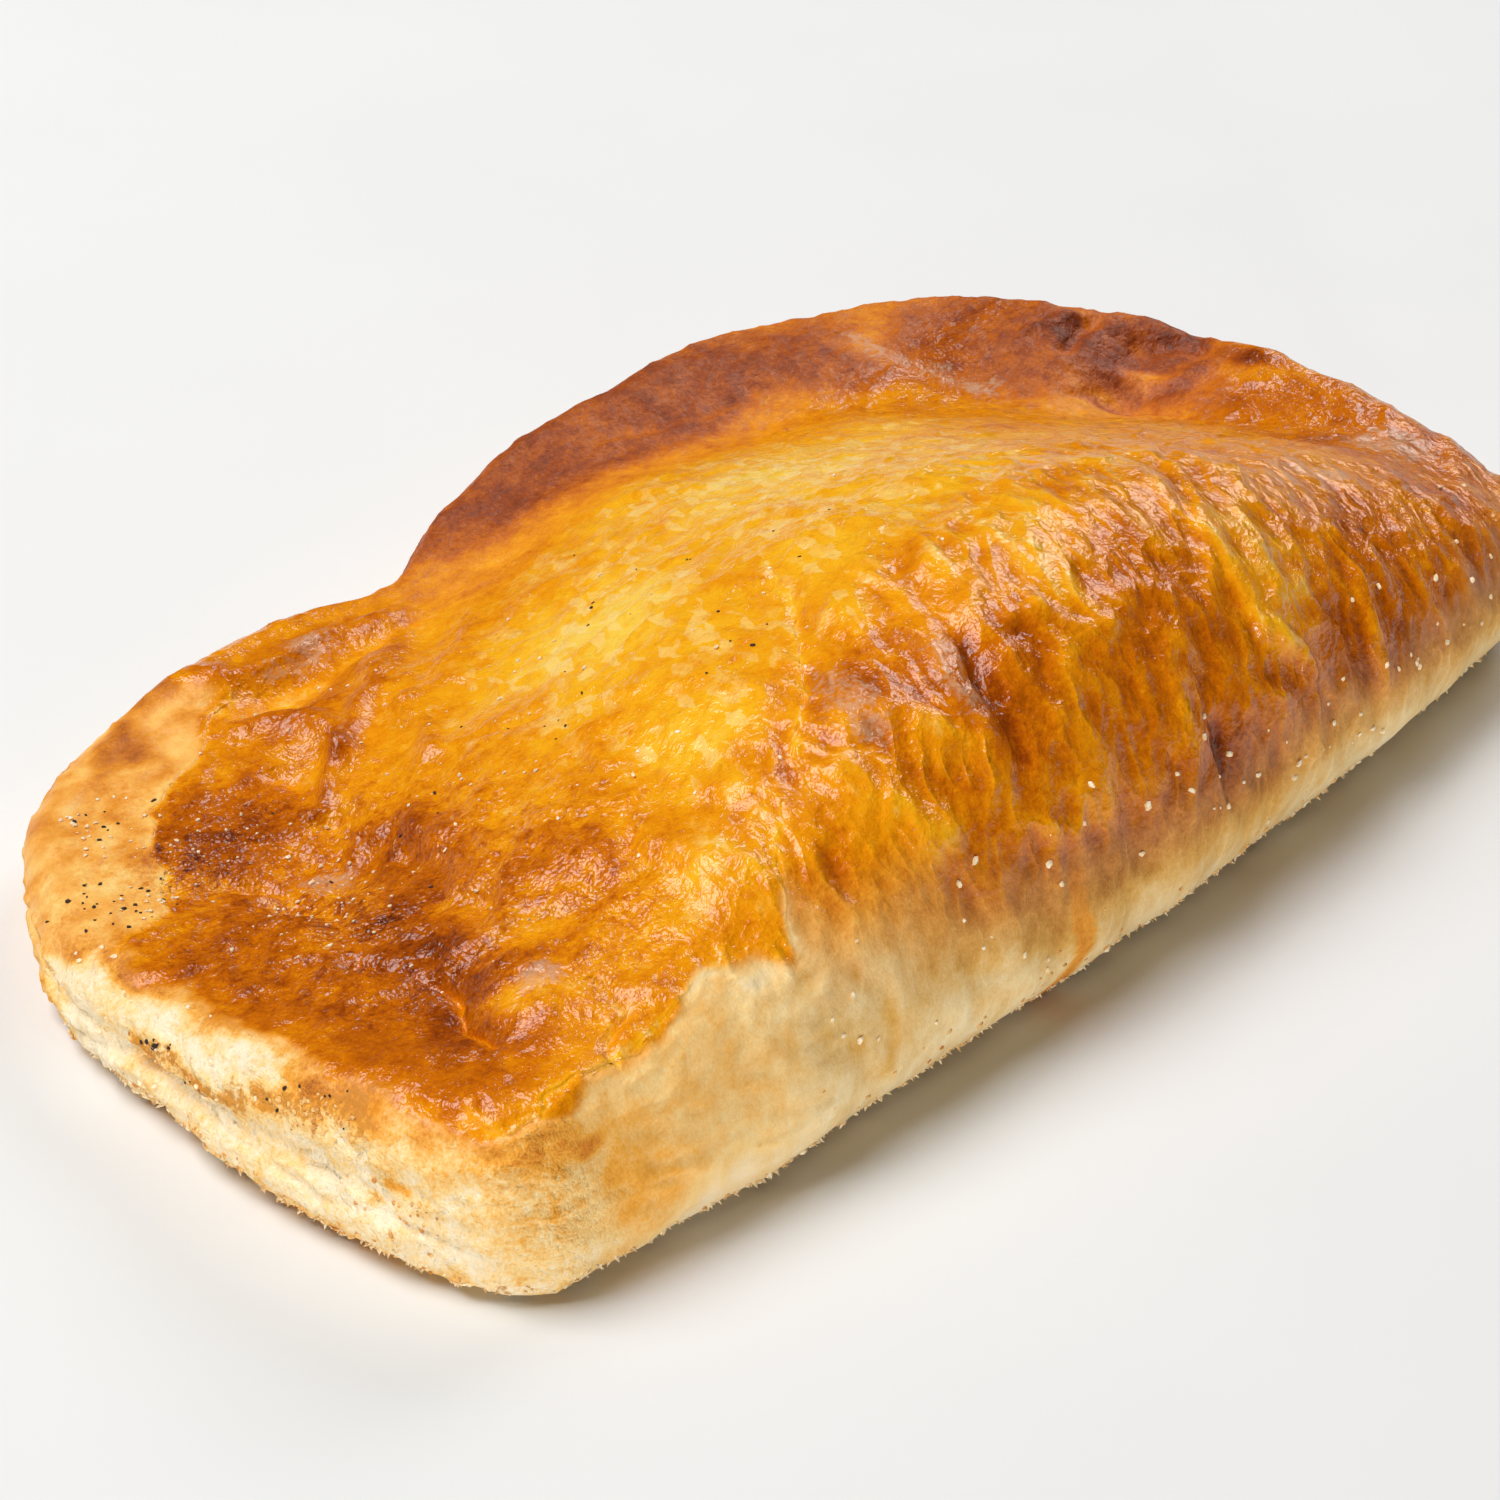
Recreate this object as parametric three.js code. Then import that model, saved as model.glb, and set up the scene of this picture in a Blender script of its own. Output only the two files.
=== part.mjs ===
// A bridie: puff pastry folded over its filling, with the open edge pressed shut by hand.
// Millimetres, +Z up. X runs along the fold towards the plump end, and Y from the fold to the
// pressed back edge. The origin is under the middle, on the flat underside.
import * as THREE from "three";
import { ImprovedNoise } from "three/addons/math/ImprovedNoise.js";
import { mergeVertices } from "three/addons/utils/BufferGeometryUtils.js";

// Plan: a nearly straight fold, a bowed near end and rounded corners, with a notch in the back
// edge where the thin near lobe meets the thicker far one.
const LENGTH = 179;
const WIDTH = 104;
const FOLD_BOW = 8;
const FAR_FOLD_OUT = 2;
const NEAR_END_RADIUS = 100;
const NEAR_END_MIDDLE = -18;
const NEAR_BACK_RADIUS = 43;
const NEAR_BACK_TURN = 0.44;
const NEAR_FOLD_RADIUS = 7;
const NEAR_FOLD_TURN = 0.23;
const FAR_FOLD_RADIUS = 19;
const FAR_BACK_RADIUS = 46;
const NOTCH = { x: -11, depth: 5.5, spread: 7 };
const EDGE_WAVER = { length: 17, depth: 1.2 };

// Heights of the top: the filling's mound, and the pressed border round it.
const CREST_HEIGHT = 38;
const FOLD_CORNER_HEIGHT = 18.5;
const NEAR_BORDER_HEIGHT = 12;
const NEAR_LOBE_HEIGHT = 15.5;
const BACK_BORDER_HEIGHT = 21.5;
const FAR_BORDER_HEIGHT = 21;
const FAR_CORNER_HEIGHT = 23;

// Where one height gives way to the next, as X in millimetres or as shares of the plan.
const LOBE_RISE = { from: -56, to: -34 };
const NEAR_SIDE_FALL = { from: 0.05, to: 0.7 };
const BACK_FALL = { from: 0.7, to: 0.9 };
const FAR_SIDE_FALL = { from: 0.1, to: 0.5 };
const STEP_AT_BACK = { from: 0.42, to: 0.57 };
const STEP_SPREAD_AT_FOLD = 0.3;

// The mound: half an oval dome on the fold, with its middle, half-axes and the valley at its foot.
const MOUND = { x: 6, y: -34, near: 88, far: 71, back: 71 };
const DOME_FALL = { from: 0.1, to: 1.02 };
const VALLEY = { depth: 2.5, spread: 0.12 };
const VALLEY_START = { from: -60, to: 0 };

// Edge: how far in the top and the underside start to roll, and the height where it is widest.
const OPEN_EDGE = { topInset: 5, baseInset: 7, waist: 6 };
const FOLD_NEAR_EDGE = { topInset: 7, baseInset: 4, waist: 5 };
const FOLD_EDGE = { topInset: 26, baseInset: 8, waist: 10 };
const FOLD_TO_OPEN = { from: -46, to: -16 };
const FOLD_SWELL = { from: 0.03, to: 0.4 };

// Seam between the two pastry sheets round the open edge, at a share of the border's height.
const SEAM = { height: 0.52, spread: 0.13, depth: 1.5 };

// Marks in the skin: each an oval with its middle, half-length, half-width, turn and height.
const NEAR_LOBE_MARKS = [
  { x: -33, y: 38.5, long: 14, wide: 6.5, turn: 0.3, height: -2.4 },
  { x: -26.5, y: 32.5, long: 15, wide: 2.8, turn: 0.52, height: 1.6 },
  { x: -30.5, y: 21.5, long: 9, wide: 2.6, turn: 0.94, height: 1.1 },
  { x: -43, y: 24, long: 4, wide: 3, turn: 0, height: -0.9 },
];
const NEAR_END_MARKS = [
  { x: -59, y: 7, long: 9, wide: 6.5, turn: 0.7, height: -2.3 },
  { x: -56, y: -9, long: 8, wide: 3.5, turn: 0.6, height: 1.5 },
  { x: -70, y: -6, long: 6, wide: 3, turn: 0.9, height: 1.2 },
  { x: -72, y: -23, long: 9, wide: 2.6, turn: 0.98, height: -2 },
  { x: -69, y: -31, long: 8, wide: 5, turn: 1.03, height: 2.4 },
  { x: -50.5, y: -12.5, long: 4, wide: 3.5, turn: 0, height: 1 },
  { x: -57.5, y: -20.5, long: 4, wide: 3.5, turn: 0, height: 0.9 },
  { x: -52, y: -22, long: 4, wide: 3.5, turn: 0, height: 0.8 },
];
const BACK_MARKS = [
  { x: 60, y: 26, long: 12, wide: 3.5, turn: 1.75, height: -1.6 },
  { x: 75, y: 6, long: 8, wide: 6.5, turn: 0, height: -3.4 },
  { x: 73, y: 14.5, long: 6, wide: 2.6, turn: 0.62, height: 1.6 },
  { x: 84, y: -5, long: 5, wide: 5, turn: 0, height: 1.5 },
  { x: 10, y: 45, long: 6, wide: 3, turn: 0.2, height: -0.8 },
  { x: 30, y: 45, long: 9, wide: 3, turn: 0, height: 0.9 },
];
const MOUND_MARKS = [
  { x: -17, y: -14.5, long: 13, wide: 2.4, turn: 1.05, height: -1 },
  { x: -31, y: -30.5, long: 9, wide: 2.4, turn: 0.65, height: -1 },
  { x: -40, y: -23.5, long: 8, wide: 2.6, turn: 1.37, height: -1.1 },
  { x: -28, y: -36, long: 8, wide: 5, turn: 0.9, height: 0.9 },
];
const MARKS = [...NEAR_LOBE_MARKS, ...NEAR_END_MARKS, ...BACK_MARKS, ...MOUND_MARKS];

// Wrinkles: long crinkles that run down the fold side, and broad blisters on the rest.
const CRINKLE = { across: 9, down: 30, height: 1 };
const BLISTER = { size: 13, height: 0.9 };
const FRAY = { along: 7, up: 3, height: 0.7 };
const CRINKLE_END = { from: -34, to: 4 };
const TOP_FACING = { from: 0.2, to: 0.7 };
const UPRIGHT_END = { from: 0.3, to: 0.8 };
const RELIEF_START = { from: 0.5, to: 5 };

// Mesh: how finely the skin is divided, and what share of it goes to the top and the edge.
const SKIN_DETAIL = 23;
const TOP_SHARE = 0.46;
const EDGE_SHARE = 0.32;
const UPPER_EDGE_SHARE = 0.64;
const SPINE_END = 42;
const OUTLINE_TURN = 0.375;

const { clamp, euclideanModulo, lerp, smoothstep } = THREE.MathUtils;
const noise = new ImprovedNoise();

// A smooth step from 0 to 1 over a stretch.
function ramp(value, stretch) {
  return smoothstep(value, stretch.from, stretch.to);
}

// A smooth bump of height 1 that fades out about one spread away.
function bump(distance, spread) {
  return Math.exp(-((distance / spread) ** 2));
}

// The outline seen from above, counterclockwise from the near end of the fold.
function planOutline() {
  const far = LENGTH / 2;
  const back = WIDTH / 2;
  const quarter = Math.PI / 2;
  const end = new THREE.Vector2(NEAR_END_RADIUS - far, NEAR_END_MIDDLE);
  const backTurn = Math.PI - NEAR_BACK_TURN;
  const foldTurn = Math.PI + NEAR_FOLD_TURN;
  const within = (radius, angle) => new THREE.Vector2(1, 0)
    .rotateAround(new THREE.Vector2(), angle)
    .multiplyScalar(NEAR_END_RADIUS - radius)
    .add(end);
  const nearBack = within(NEAR_BACK_RADIUS, backTurn);
  const nearFold = within(NEAR_FOLD_RADIUS, foldTurn);
  const fold = nearFold.y - NEAR_FOLD_RADIUS;
  const bowed = fold - FOLD_BOW;
  const farFoldY = fold - FAR_FOLD_OUT;
  const farFold = far - FAR_FOLD_RADIUS;
  const farBack = far - FAR_BACK_RADIUS;
  const path = new THREE.Path();
  path.moveTo(nearFold.x, fold);
  path.bezierCurveTo(-far / 2, bowed, far / 3, bowed, farFold, farFoldY);
  path.absarc(farFold, farFoldY + FAR_FOLD_RADIUS, FAR_FOLD_RADIUS, -quarter, 0);
  path.absarc(farBack, back - FAR_BACK_RADIUS, FAR_BACK_RADIUS, 0, quarter);
  path.absarc(nearBack.x, nearBack.y, NEAR_BACK_RADIUS, quarter, backTurn);
  path.absarc(end.x, end.y, NEAR_END_RADIUS, backTurn, foldTurn);
  path.absarc(nearFold.x, nearFold.y, NEAR_FOLD_RADIUS, foldTurn, 3 * quarter);
  path.closePath();
  return path;
}

const outline = planOutline();

// Share of the way from the near end to the far end.
function along(x) {
  return x / LENGTH + 0.5;
}

// How much a place belongs to the folded side rather than to the open edge.
function foldSide(y) {
  return 1 - ramp(y, FOLD_TO_OPEN);
}

// A point of the pastry's outline, with the notch and the hand-pressed waver of the open edge.
function edgePoint(share) {
  const edge = outline.getPointAt(share);
  const wave = noise.noise(edge.x / EDGE_WAVER.length, edge.y / EDGE_WAVER.length, 0.5);
  const waver = EDGE_WAVER.depth * wave * (1 - foldSide(edge.y));
  edge.setLength(edge.length() + waver);
  if (edge.y > 0) {
    edge.y -= NOTCH.depth * bump(edge.x - NOTCH.x, NOTCH.spread);
  }
  return edge;
}

// Height of the pressed border, which thickens from the near side to the far side.
function borderHeight(x, y) {
  const s = along(x);
  const t = y / WIDTH + 0.5;
  const lobe = lerp(NEAR_BORDER_HEIGHT, NEAR_LOBE_HEIGHT, ramp(x, LOBE_RISE));
  const nearSide = lerp(FOLD_CORNER_HEIGHT, lobe, ramp(t, NEAR_SIDE_FALL));
  const back = lerp(BACK_BORDER_HEIGHT, FAR_BORDER_HEIGHT, ramp(s, BACK_FALL));
  const farSide = lerp(FAR_CORNER_HEIGHT, back, ramp(t, FAR_SIDE_FALL));
  const stepStart = STEP_AT_BACK.from - STEP_SPREAD_AT_FOLD * (1 - t);
  return lerp(nearSide, farSide, smoothstep(s, stepStart, STEP_AT_BACK.to));
}

// Height of the top skin before its edge rolls down.
function topHeight(x, y) {
  const border = borderHeight(x, y);
  const dx = x - MOUND.x;
  const out = Math.hypot(dx / (dx < 0 ? MOUND.near : MOUND.far), (y - MOUND.y) / MOUND.back);
  const dome = 1 - ramp(out, DOME_FALL);
  const valley = VALLEY.depth * bump(out - DOME_FALL.to, VALLEY.spread) * ramp(x, VALLEY_START);
  return border + (CREST_HEIGHT - border) * dome - valley;
}

// How the edge rolls at a point of the outline.
function edgeRoll(edge) {
  const fold = foldSide(edge.y);
  const body = ramp(along(edge.x), FOLD_SWELL);
  const blend = (key) => lerp(OPEN_EDGE[key], lerp(FOLD_NEAR_EDGE[key], FOLD_EDGE[key], body), fold);
  return { topInset: blend("topInset"), baseInset: blend("baseInset"), waist: blend("waist") };
}

// A direction on the unit sphere taken to its place on the smooth skin.
function skinPoint(direction) {
  const polar = Math.acos(clamp(direction.z, -1, 1)) / Math.PI;
  const turn = Math.atan2(direction.y, direction.x) / (2 * Math.PI);
  const edge = edgePoint(euclideanModulo(turn + OUTLINE_TURN, 1));
  const spine = new THREE.Vector2(clamp(edge.x, -SPINE_END, SPINE_END), 0);
  const reach = edge.distanceTo(spine);
  const roll = edgeRoll(edge);
  const place = (inset) => {
    const share = clamp(1 - inset / reach, 0, 1);
    return edge.clone().lerp(spine.clone().multiplyScalar(share), 1 - share);
  };
  const spread = (angle, full) => Math.sin((angle * Math.PI) / 2) / Math.sin((full * Math.PI) / 2);
  if (polar < TOP_SHARE) {
    const p = place(lerp(reach, roll.topInset, spread(polar, TOP_SHARE)));
    return new THREE.Vector3(p.x, p.y, topHeight(p.x, p.y));
  }
  const way = (polar - TOP_SHARE) / EDGE_SHARE;
  if (way < UPPER_EDGE_SHARE) {
    const bend = (Math.PI / 2) * (1 - way / UPPER_EDGE_SHARE);
    const p = place(roll.topInset * (1 - Math.cos(bend)));
    return new THREE.Vector3(p.x, p.y, lerp(roll.waist, topHeight(p.x, p.y), Math.sin(bend)));
  }
  if (way < 1) {
    const bend = (Math.PI / 2) * ((way - UPPER_EDGE_SHARE) / (1 - UPPER_EDGE_SHARE));
    const p = place(roll.baseInset * (1 - Math.cos(bend)));
    return new THREE.Vector3(p.x, p.y, roll.waist * (1 - Math.sin(bend)));
  }
  const p = place(lerp(reach, roll.baseInset, spread(1 - polar, 1 - TOP_SHARE - EDGE_SHARE)));
  return new THREE.Vector3(p.x, p.y, 0);
}

// How far a mark lifts the skin at a place of the plan.
function markRise(mark, x, y) {
  const cos = Math.cos(mark.turn);
  const sin = Math.sin(mark.turn);
  const u = ((x - mark.x) * cos + (y - mark.y) * sin) / mark.long;
  const v = ((y - mark.y) * cos - (x - mark.x) * sin) / mark.wide;
  return mark.height * bump(Math.hypot(u, v), 1);
}

// How far the skin's relief stands out at a place of the smooth skin, facing along its normal.
function relief(p, normal) {
  const top = ramp(normal.z, TOP_FACING);
  const openSide = (1 - foldSide(p.y)) * (1 - ramp(Math.abs(normal.z), UPRIGHT_END));
  const marks = MARKS.reduce((sum, mark) => sum + markRise(mark, p.x, p.y), 0);
  const blister = BLISTER.height * noise.noise(p.x / BLISTER.size, p.y / BLISTER.size, 7.5);
  const crinkle = CRINKLE.height
    * noise.noise(p.x / CRINKLE.across, p.y / CRINKLE.down, p.z / CRINKLE.down);
  const fray = FRAY.height
    * noise.noise((p.x + p.y) / FRAY.along, (p.x - p.y) / FRAY.along, p.z / FRAY.up);
  const seam = SEAM.depth * bump(p.z / borderHeight(p.x, p.y) - SEAM.height, SEAM.spread);
  const wrinkle = lerp(crinkle, blister * top, ramp(p.y, CRINKLE_END));
  return (marks * top + wrinkle + (fray - seam) * openSide) * ramp(p.z, RELIEF_START);
}

function pastryGeometry() {
  const sphere = new THREE.IcosahedronGeometry(1, SKIN_DETAIL);
  sphere.deleteAttribute("normal");
  sphere.deleteAttribute("uv");
  const skin = mergeVertices(sphere);
  const position = skin.getAttribute("position");
  for (let i = 0; i < position.count; i += 1) {
    const p = skinPoint(new THREE.Vector3().fromBufferAttribute(position, i).normalize());
    position.setXYZ(i, p.x, p.y, p.z);
  }
  skin.computeVertexNormals();
  const normals = skin.getAttribute("normal");
  for (let i = 0; i < position.count; i += 1) {
    const p = new THREE.Vector3().fromBufferAttribute(position, i);
    const normal = new THREE.Vector3().fromBufferAttribute(normals, i);
    p.addScaledVector(normal, relief(p, normal));
    position.setXYZ(i, p.x, p.y, Math.max(p.z, 0));
  }
  skin.computeBoundingBox();
  const middle = skin.boundingBox.getCenter(new THREE.Vector3());
  skin.translate(-middle.x, -middle.y, -skin.boundingBox.min.z);
  skin.computeVertexNormals();
  return skin;
}

const crust = new THREE.MeshStandardMaterial({ color: 0xd08a34, roughness: 0.45, metalness: 0 });
const bridie = new THREE.Mesh(pastryGeometry(), crust);
bridie.name = "bridie";

const part = new THREE.Group();
part.add(bridie);

export default part;
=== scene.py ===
"""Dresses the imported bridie: a browned pastry skin with egg wash, grains, pepper and a frayed lower edge."""

import itertools
import logging
import math
from dataclasses import dataclass, field
from enum import Enum

import bmesh
import bpy
import numpy as np
from mathutils import Matrix, Quaternion, Vector

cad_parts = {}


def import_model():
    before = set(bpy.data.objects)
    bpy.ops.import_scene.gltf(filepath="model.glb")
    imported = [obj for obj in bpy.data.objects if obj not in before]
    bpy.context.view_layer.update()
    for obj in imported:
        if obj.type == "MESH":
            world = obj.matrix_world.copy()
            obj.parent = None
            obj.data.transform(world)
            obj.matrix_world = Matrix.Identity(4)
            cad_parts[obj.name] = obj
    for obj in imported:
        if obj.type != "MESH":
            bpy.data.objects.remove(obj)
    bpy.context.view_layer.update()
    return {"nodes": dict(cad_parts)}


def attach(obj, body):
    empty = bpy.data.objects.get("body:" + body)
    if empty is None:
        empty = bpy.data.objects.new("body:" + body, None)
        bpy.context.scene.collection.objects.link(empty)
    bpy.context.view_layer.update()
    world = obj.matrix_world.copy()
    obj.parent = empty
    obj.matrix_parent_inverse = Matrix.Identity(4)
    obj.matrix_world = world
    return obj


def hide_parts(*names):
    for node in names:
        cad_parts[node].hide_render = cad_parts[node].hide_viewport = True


MM = 0.001
BODY = "root"

# The value that a noise texture swings about.
MID = 0.5

Pair = tuple[float, float]
Triple = tuple[float, float, float]
Stops = tuple[tuple[float, str], ...]

log = logging.getLogger("bridie")


def linear(hex_colour: str) -> tuple[float, float, float, float]:
    """Turns a display colour into the linear colour that a shader takes.

    Args:
        hex_colour: Six hexadecimal digits, red first.

    Returns:
        Red, green, blue and a full alpha.
    """
    parts = [int(hex_colour[i:i + 2], 16) / 255 for i in (0, 2, 4)]
    low_end, low_slope, shift, power = 0.04045, 12.92, 0.055, 2.4
    values = [p / low_slope if p <= low_end else ((p + shift) / (1 + shift)) ** power for p in parts]
    return values[0], values[1], values[2], 1.0


def ramp(values: np.ndarray, start: float | np.ndarray, end: float | np.ndarray) -> np.ndarray:
    """Rises smoothly from 0 at start to 1 at end, or falls where end is below start.

    Args:
        values: The numbers to ease.
        start: Where the result is 0.
        end: Where the result is 1.

    Returns:
        Numbers from 0 to 1.
    """
    share = np.clip((values - start) / (end - start), 0.0, 1.0)
    return share * share * (3 - 2 * share)


def ease(colour: np.ndarray, target: float, mask: np.ndarray) -> np.ndarray:
    """Moves values towards a target by a mask.

    Args:
        colour: The values so far.
        target: The value where the mask is 1.
        mask: Numbers from 0 to 1.

    Returns:
        The new values.
    """
    return colour + (target - colour) * mask


def new_piece(bm: bmesh.types.BMesh, name: str) -> bpy.types.Object:
    """Turns a bmesh into an object of the scene.

    Args:
        bm: The bmesh, which is freed.
        name: The name of the object and of its mesh.

    Returns:
        The object.
    """
    mesh = bpy.data.meshes.new(name)
    bm.to_mesh(mesh)
    bm.free()
    piece = bpy.data.objects.new(name, mesh)
    bpy.context.scene.collection.objects.link(piece)
    return piece


class Mark(Enum):
    """A number that the skin keeps at its points, for its finish to read."""

    BAKE = "bake"
    WASH = "wash"
    RUFFLE = "ruffle"
    SPICE = "spice"
    # A pale sheen painted on the film, with flour in the groove by the far rim.
    BLOOM = "bloom"
    GRIT = "grit"
    GLOSS = "gloss"


class Side(Enum):
    """The side that a mark is laid on from: the two axes it is drawn on, and the way that side faces."""

    TOP = ((0, 1), (0.0, 0.0, 1.0))
    FOLD = ((0, 2), (0.0, -1.0, 0.0))
    NEAR_END = ((1, 2), (-1.0, 0.0, 0.0))

    @property
    def axes(self) -> tuple[int, int]:
        """The two axes that the side's marks are drawn on."""
        return self.value[0]

    @property
    def facing(self) -> Triple:
        """The direction out of the side."""
        return self.value[1]


@dataclass(frozen=True)
class Oval:
    """A soft oval on the skin, in millimetres."""

    at: Pair
    half: Pair
    turn: float = 0.0
    side: Side = Side.TOP


@dataclass(frozen=True)
class Browning:
    """An oval that the oven has brought to one shade, from 0 for palest to 1 for darkest."""

    oval: Oval
    shade: float
    strength: float = 1.0
    soft: float = 0.6


@dataclass(frozen=True)
class Stroke:
    """A ridge along a line, or a crease where its rise is below 0, in millimetres."""

    points: tuple[Pair, ...]
    width: float
    rise: float
    side: Side = Side.TOP


@dataclass(frozen=True)
class FilmEdge:
    """A torn edge of the egg-washed film: it curls up along a line and settles away to the line's left."""

    points: tuple[Pair, ...]
    lip: float
    reach: float
    side: Side = Side.TOP

@dataclass(frozen=True)
class Crumple:
    """Crumpled ridges: how far apart the widest are in millimetres, how many layers, and how thin."""

    size: float | Triple
    layers: int
    sharp: float


class SkinNoise:
    """Seeded gradient noise over arrays of points."""

    TABLE_SIZE = 256
    GAIN = 1.7
    RIDGE_SLOPE = 2.0
    LAYER_SHIFT = 31.0

    def __init__(self, seed: int) -> None:
        """Shuffles the lattice and its slopes.

        Args:
            seed: The number that fixes the pattern.
        """
        rng = np.random.default_rng(seed)
        self.table = rng.permutation(self.TABLE_SIZE)
        slopes = rng.normal(size=(self.TABLE_SIZE, 3))
        self.slopes = slopes / np.linalg.norm(slopes, axis=1, keepdims=True)

    def at(self, points: np.ndarray, size: float | Triple) -> np.ndarray:
        """Reads the noise.

        Args:
            points: One row of three numbers a point.
            size: The width of one wave, the same all round or one for each axis.

        Returns:
            Numbers from about -1 to 1.
        """
        scaled = points / np.asarray(size)
        cell = np.floor(scaled).astype(int)
        part = scaled - cell
        eased = part ** 3 * (part * (part * 6 - 15) + 10)
        total = np.zeros(len(points))
        for corner in itertools.product((0, 1), repeat=3):
            mark = np.zeros(len(points), dtype=int)
            for axis, step in enumerate(corner):
                mark = self.table[(mark + cell[:, axis] + step) % self.TABLE_SIZE]
            pull = np.einsum("ij,ij->i", self.slopes[mark], part - np.array(corner))
            weight = np.prod(np.where(np.array(corner) == 1, eased, 1 - eased), axis=1)
            total += weight * pull
        return total * self.GAIN

    def layered(self, points: np.ndarray, size: float, layers: int = 3) -> np.ndarray:
        """Adds ever finer and weaker layers of the noise.

        Args:
            points: One row of three numbers a point.
            size: The width of the widest wave.
            layers: How many layers are added, each half as wide and half as strong.

        Returns:
            Numbers from about -1 to 1.
        """
        return sum(self.at(points, size / 2 ** i) / 2 ** i for i in range(layers))

    def creases(self, points: np.ndarray, size: np.ndarray, sharp: float) -> np.ndarray:
        """Draws thin ridges between flat places, as crumpled paper has.

        Args:
            points: One row of three numbers a point.
            size: The width between ridges.
            sharp: How thin the ridges are.

        Returns:
            Numbers from 0, flat, to 1, on a ridge.
        """
        return np.clip(1 - np.abs(self.at(points, size)) * self.RIDGE_SLOPE, 0.0, 1.0) ** sharp

    def crumple(self, points: np.ndarray, crumple: Crumple) -> np.ndarray:
        """Adds ever finer and lower ridges, as on crumpled film.

        Args:
            points: One row of three numbers a point.
            crumple: The ridges; each layer is half as wide and half as high as the one before.

        Returns:
            Numbers from 0 to about 1.5.
        """
        total = np.zeros(len(points))
        for layer in range(crumple.layers):
            size = np.asarray(crumple.size) / 2 ** layer
            total += self.creases(points + self.LAYER_SHIFT * layer, size, crumple.sharp) / 2 ** layer
        return total


@dataclass
class SkinPoints:
    """The skin's points in millimetres and the way they face, for drawing marks on."""

    place: np.ndarray
    facing: np.ndarray
    noise: SkinNoise
    faces: np.ndarray | None = None
    area: np.ndarray | None = None
    waver: float = 1.6
    waver_size: float = 7.0
    fine_waver: float = 0.3
    fine_waver_size: float = 2.2
    axis_shift: float = 37.0
    faces_out: Pair = (-0.05, 0.35)
    near_half: Pair = (0.0, 12.0)
    tear: Pair = (-0.12, 0.12)
    wavered: np.ndarray = field(init=False)

    def __post_init__(self) -> None:
        """Shifts a copy of the points a little, so that what is drawn with it gets uneven edges."""
        shift = np.zeros_like(self.place)
        for axis in range(3):
            moved = self.place + (axis + 1) * self.axis_shift
            shift[:, axis] = self.waver * self.noise.at(moved, self.waver_size)
            shift[:, axis] += self.fine_waver * self.noise.at(moved, self.fine_waver_size)
        self.wavered = self.place + shift

    def gate(self, side: Side) -> np.ndarray:
        """Picks the points that face one side.

        Args:
            side: The side.

        Returns:
            1 where the skin faces that side, 0 where it faces away or lies on the far half.
        """
        out = np.array(side.facing)
        faced = ramp(self.facing @ out, *self.faces_out)
        return faced if side is Side.TOP else faced * ramp(self.place @ out, *self.near_half)

    def oval(self, oval: Oval, soft: float = 1.0) -> np.ndarray:
        """Draws an oval.

        Args:
            oval: The oval.
            soft: The share of the oval that its soft edge takes up.

        Returns:
            1 in the middle, 0 outside.
        """
        flat = self.wavered[:, oval.side.axes] - np.array(oval.at)
        c, s = math.cos(oval.turn), math.sin(oval.turn)
        along = (flat[:, 0] * c + flat[:, 1] * s) / oval.half[0]
        across = (flat[:, 1] * c - flat[:, 0] * s) / oval.half[1]
        return ramp(np.hypot(along, across), 1.0, 1.0 - soft) * self.gate(oval.side)

    def line(self, points: tuple[Pair, ...], side: Side) -> tuple[np.ndarray, np.ndarray]:
        """Measures how far the points are from a line.

        Args:
            points: The line's corners.
            side: The side that the line is drawn on.

        Returns:
            The distance to the line, and the signed distance, above 0 on the line's left.
        """
        flat = self.wavered[:, side.axes]
        nearest = np.full(len(flat), np.inf)
        signed = np.zeros(len(flat))
        for first, last in zip(points, points[1:]):
            start, run = np.array(first), np.array(last) - np.array(first)
            share = np.clip((flat - start) @ run / (run @ run), 0.0, 1.0)
            gap = flat - start - share[:, None] * run
            length = np.hypot(gap[:, 0], gap[:, 1])
            left = run[0] * gap[:, 1] - run[1] * gap[:, 0]
            closer = length < nearest
            nearest = np.where(closer, length, nearest)
            signed = np.where(closer, np.sign(left) * length, signed)
        return nearest, signed

    def stroke(self, stroke: Stroke) -> np.ndarray:
        """Gives a ridge's or crease's height at each point.

        Args:
            stroke: The ridge or crease.

        Returns:
            Heights in millimetres.
        """
        nearest, _ = self.line(stroke.points, stroke.side)
        return stroke.rise * np.exp(-(nearest / stroke.width) ** 2) * self.gate(stroke.side)

    def strew(
        self, chance: np.ndarray, count: int, rng: np.random.Generator
    ) -> list[tuple[np.ndarray, np.ndarray]]:
        """Picks places all over the skin's faces.

        Args:
            chance: How likely each point of the skin is.
            count: How many places are picked.
            rng: The source of the picks.

        Returns:
            The places in millimetres, and the way the skin faces at each.
        """
        weight = chance[self.faces].mean(axis=1) * self.area
        picked = self.faces[rng.choice(len(weight), size=count, p=weight / weight.sum())]
        shares = rng.dirichlet((1.0, 1.0, 1.0), count)
        places = np.einsum("ij,ijk->ik", shares, self.place[picked])
        facings = np.einsum("ij,ijk->ik", shares, self.facing[picked])
        return list(zip(places, facings / np.linalg.norm(facings, axis=1, keepdims=True)))

    def film(self, edge: FilmEdge) -> np.ndarray:
        """Gives a torn film edge's height at each point.

        Args:
            edge: The film edge.

        Returns:
            Heights in millimetres.
        """
        nearest, signed = self.line(edge.points, edge.side)
        lifted = ramp(signed, *self.tear) * np.exp(-nearest / edge.reach)
        return edge.lip * lifted * self.gate(edge.side)

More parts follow.
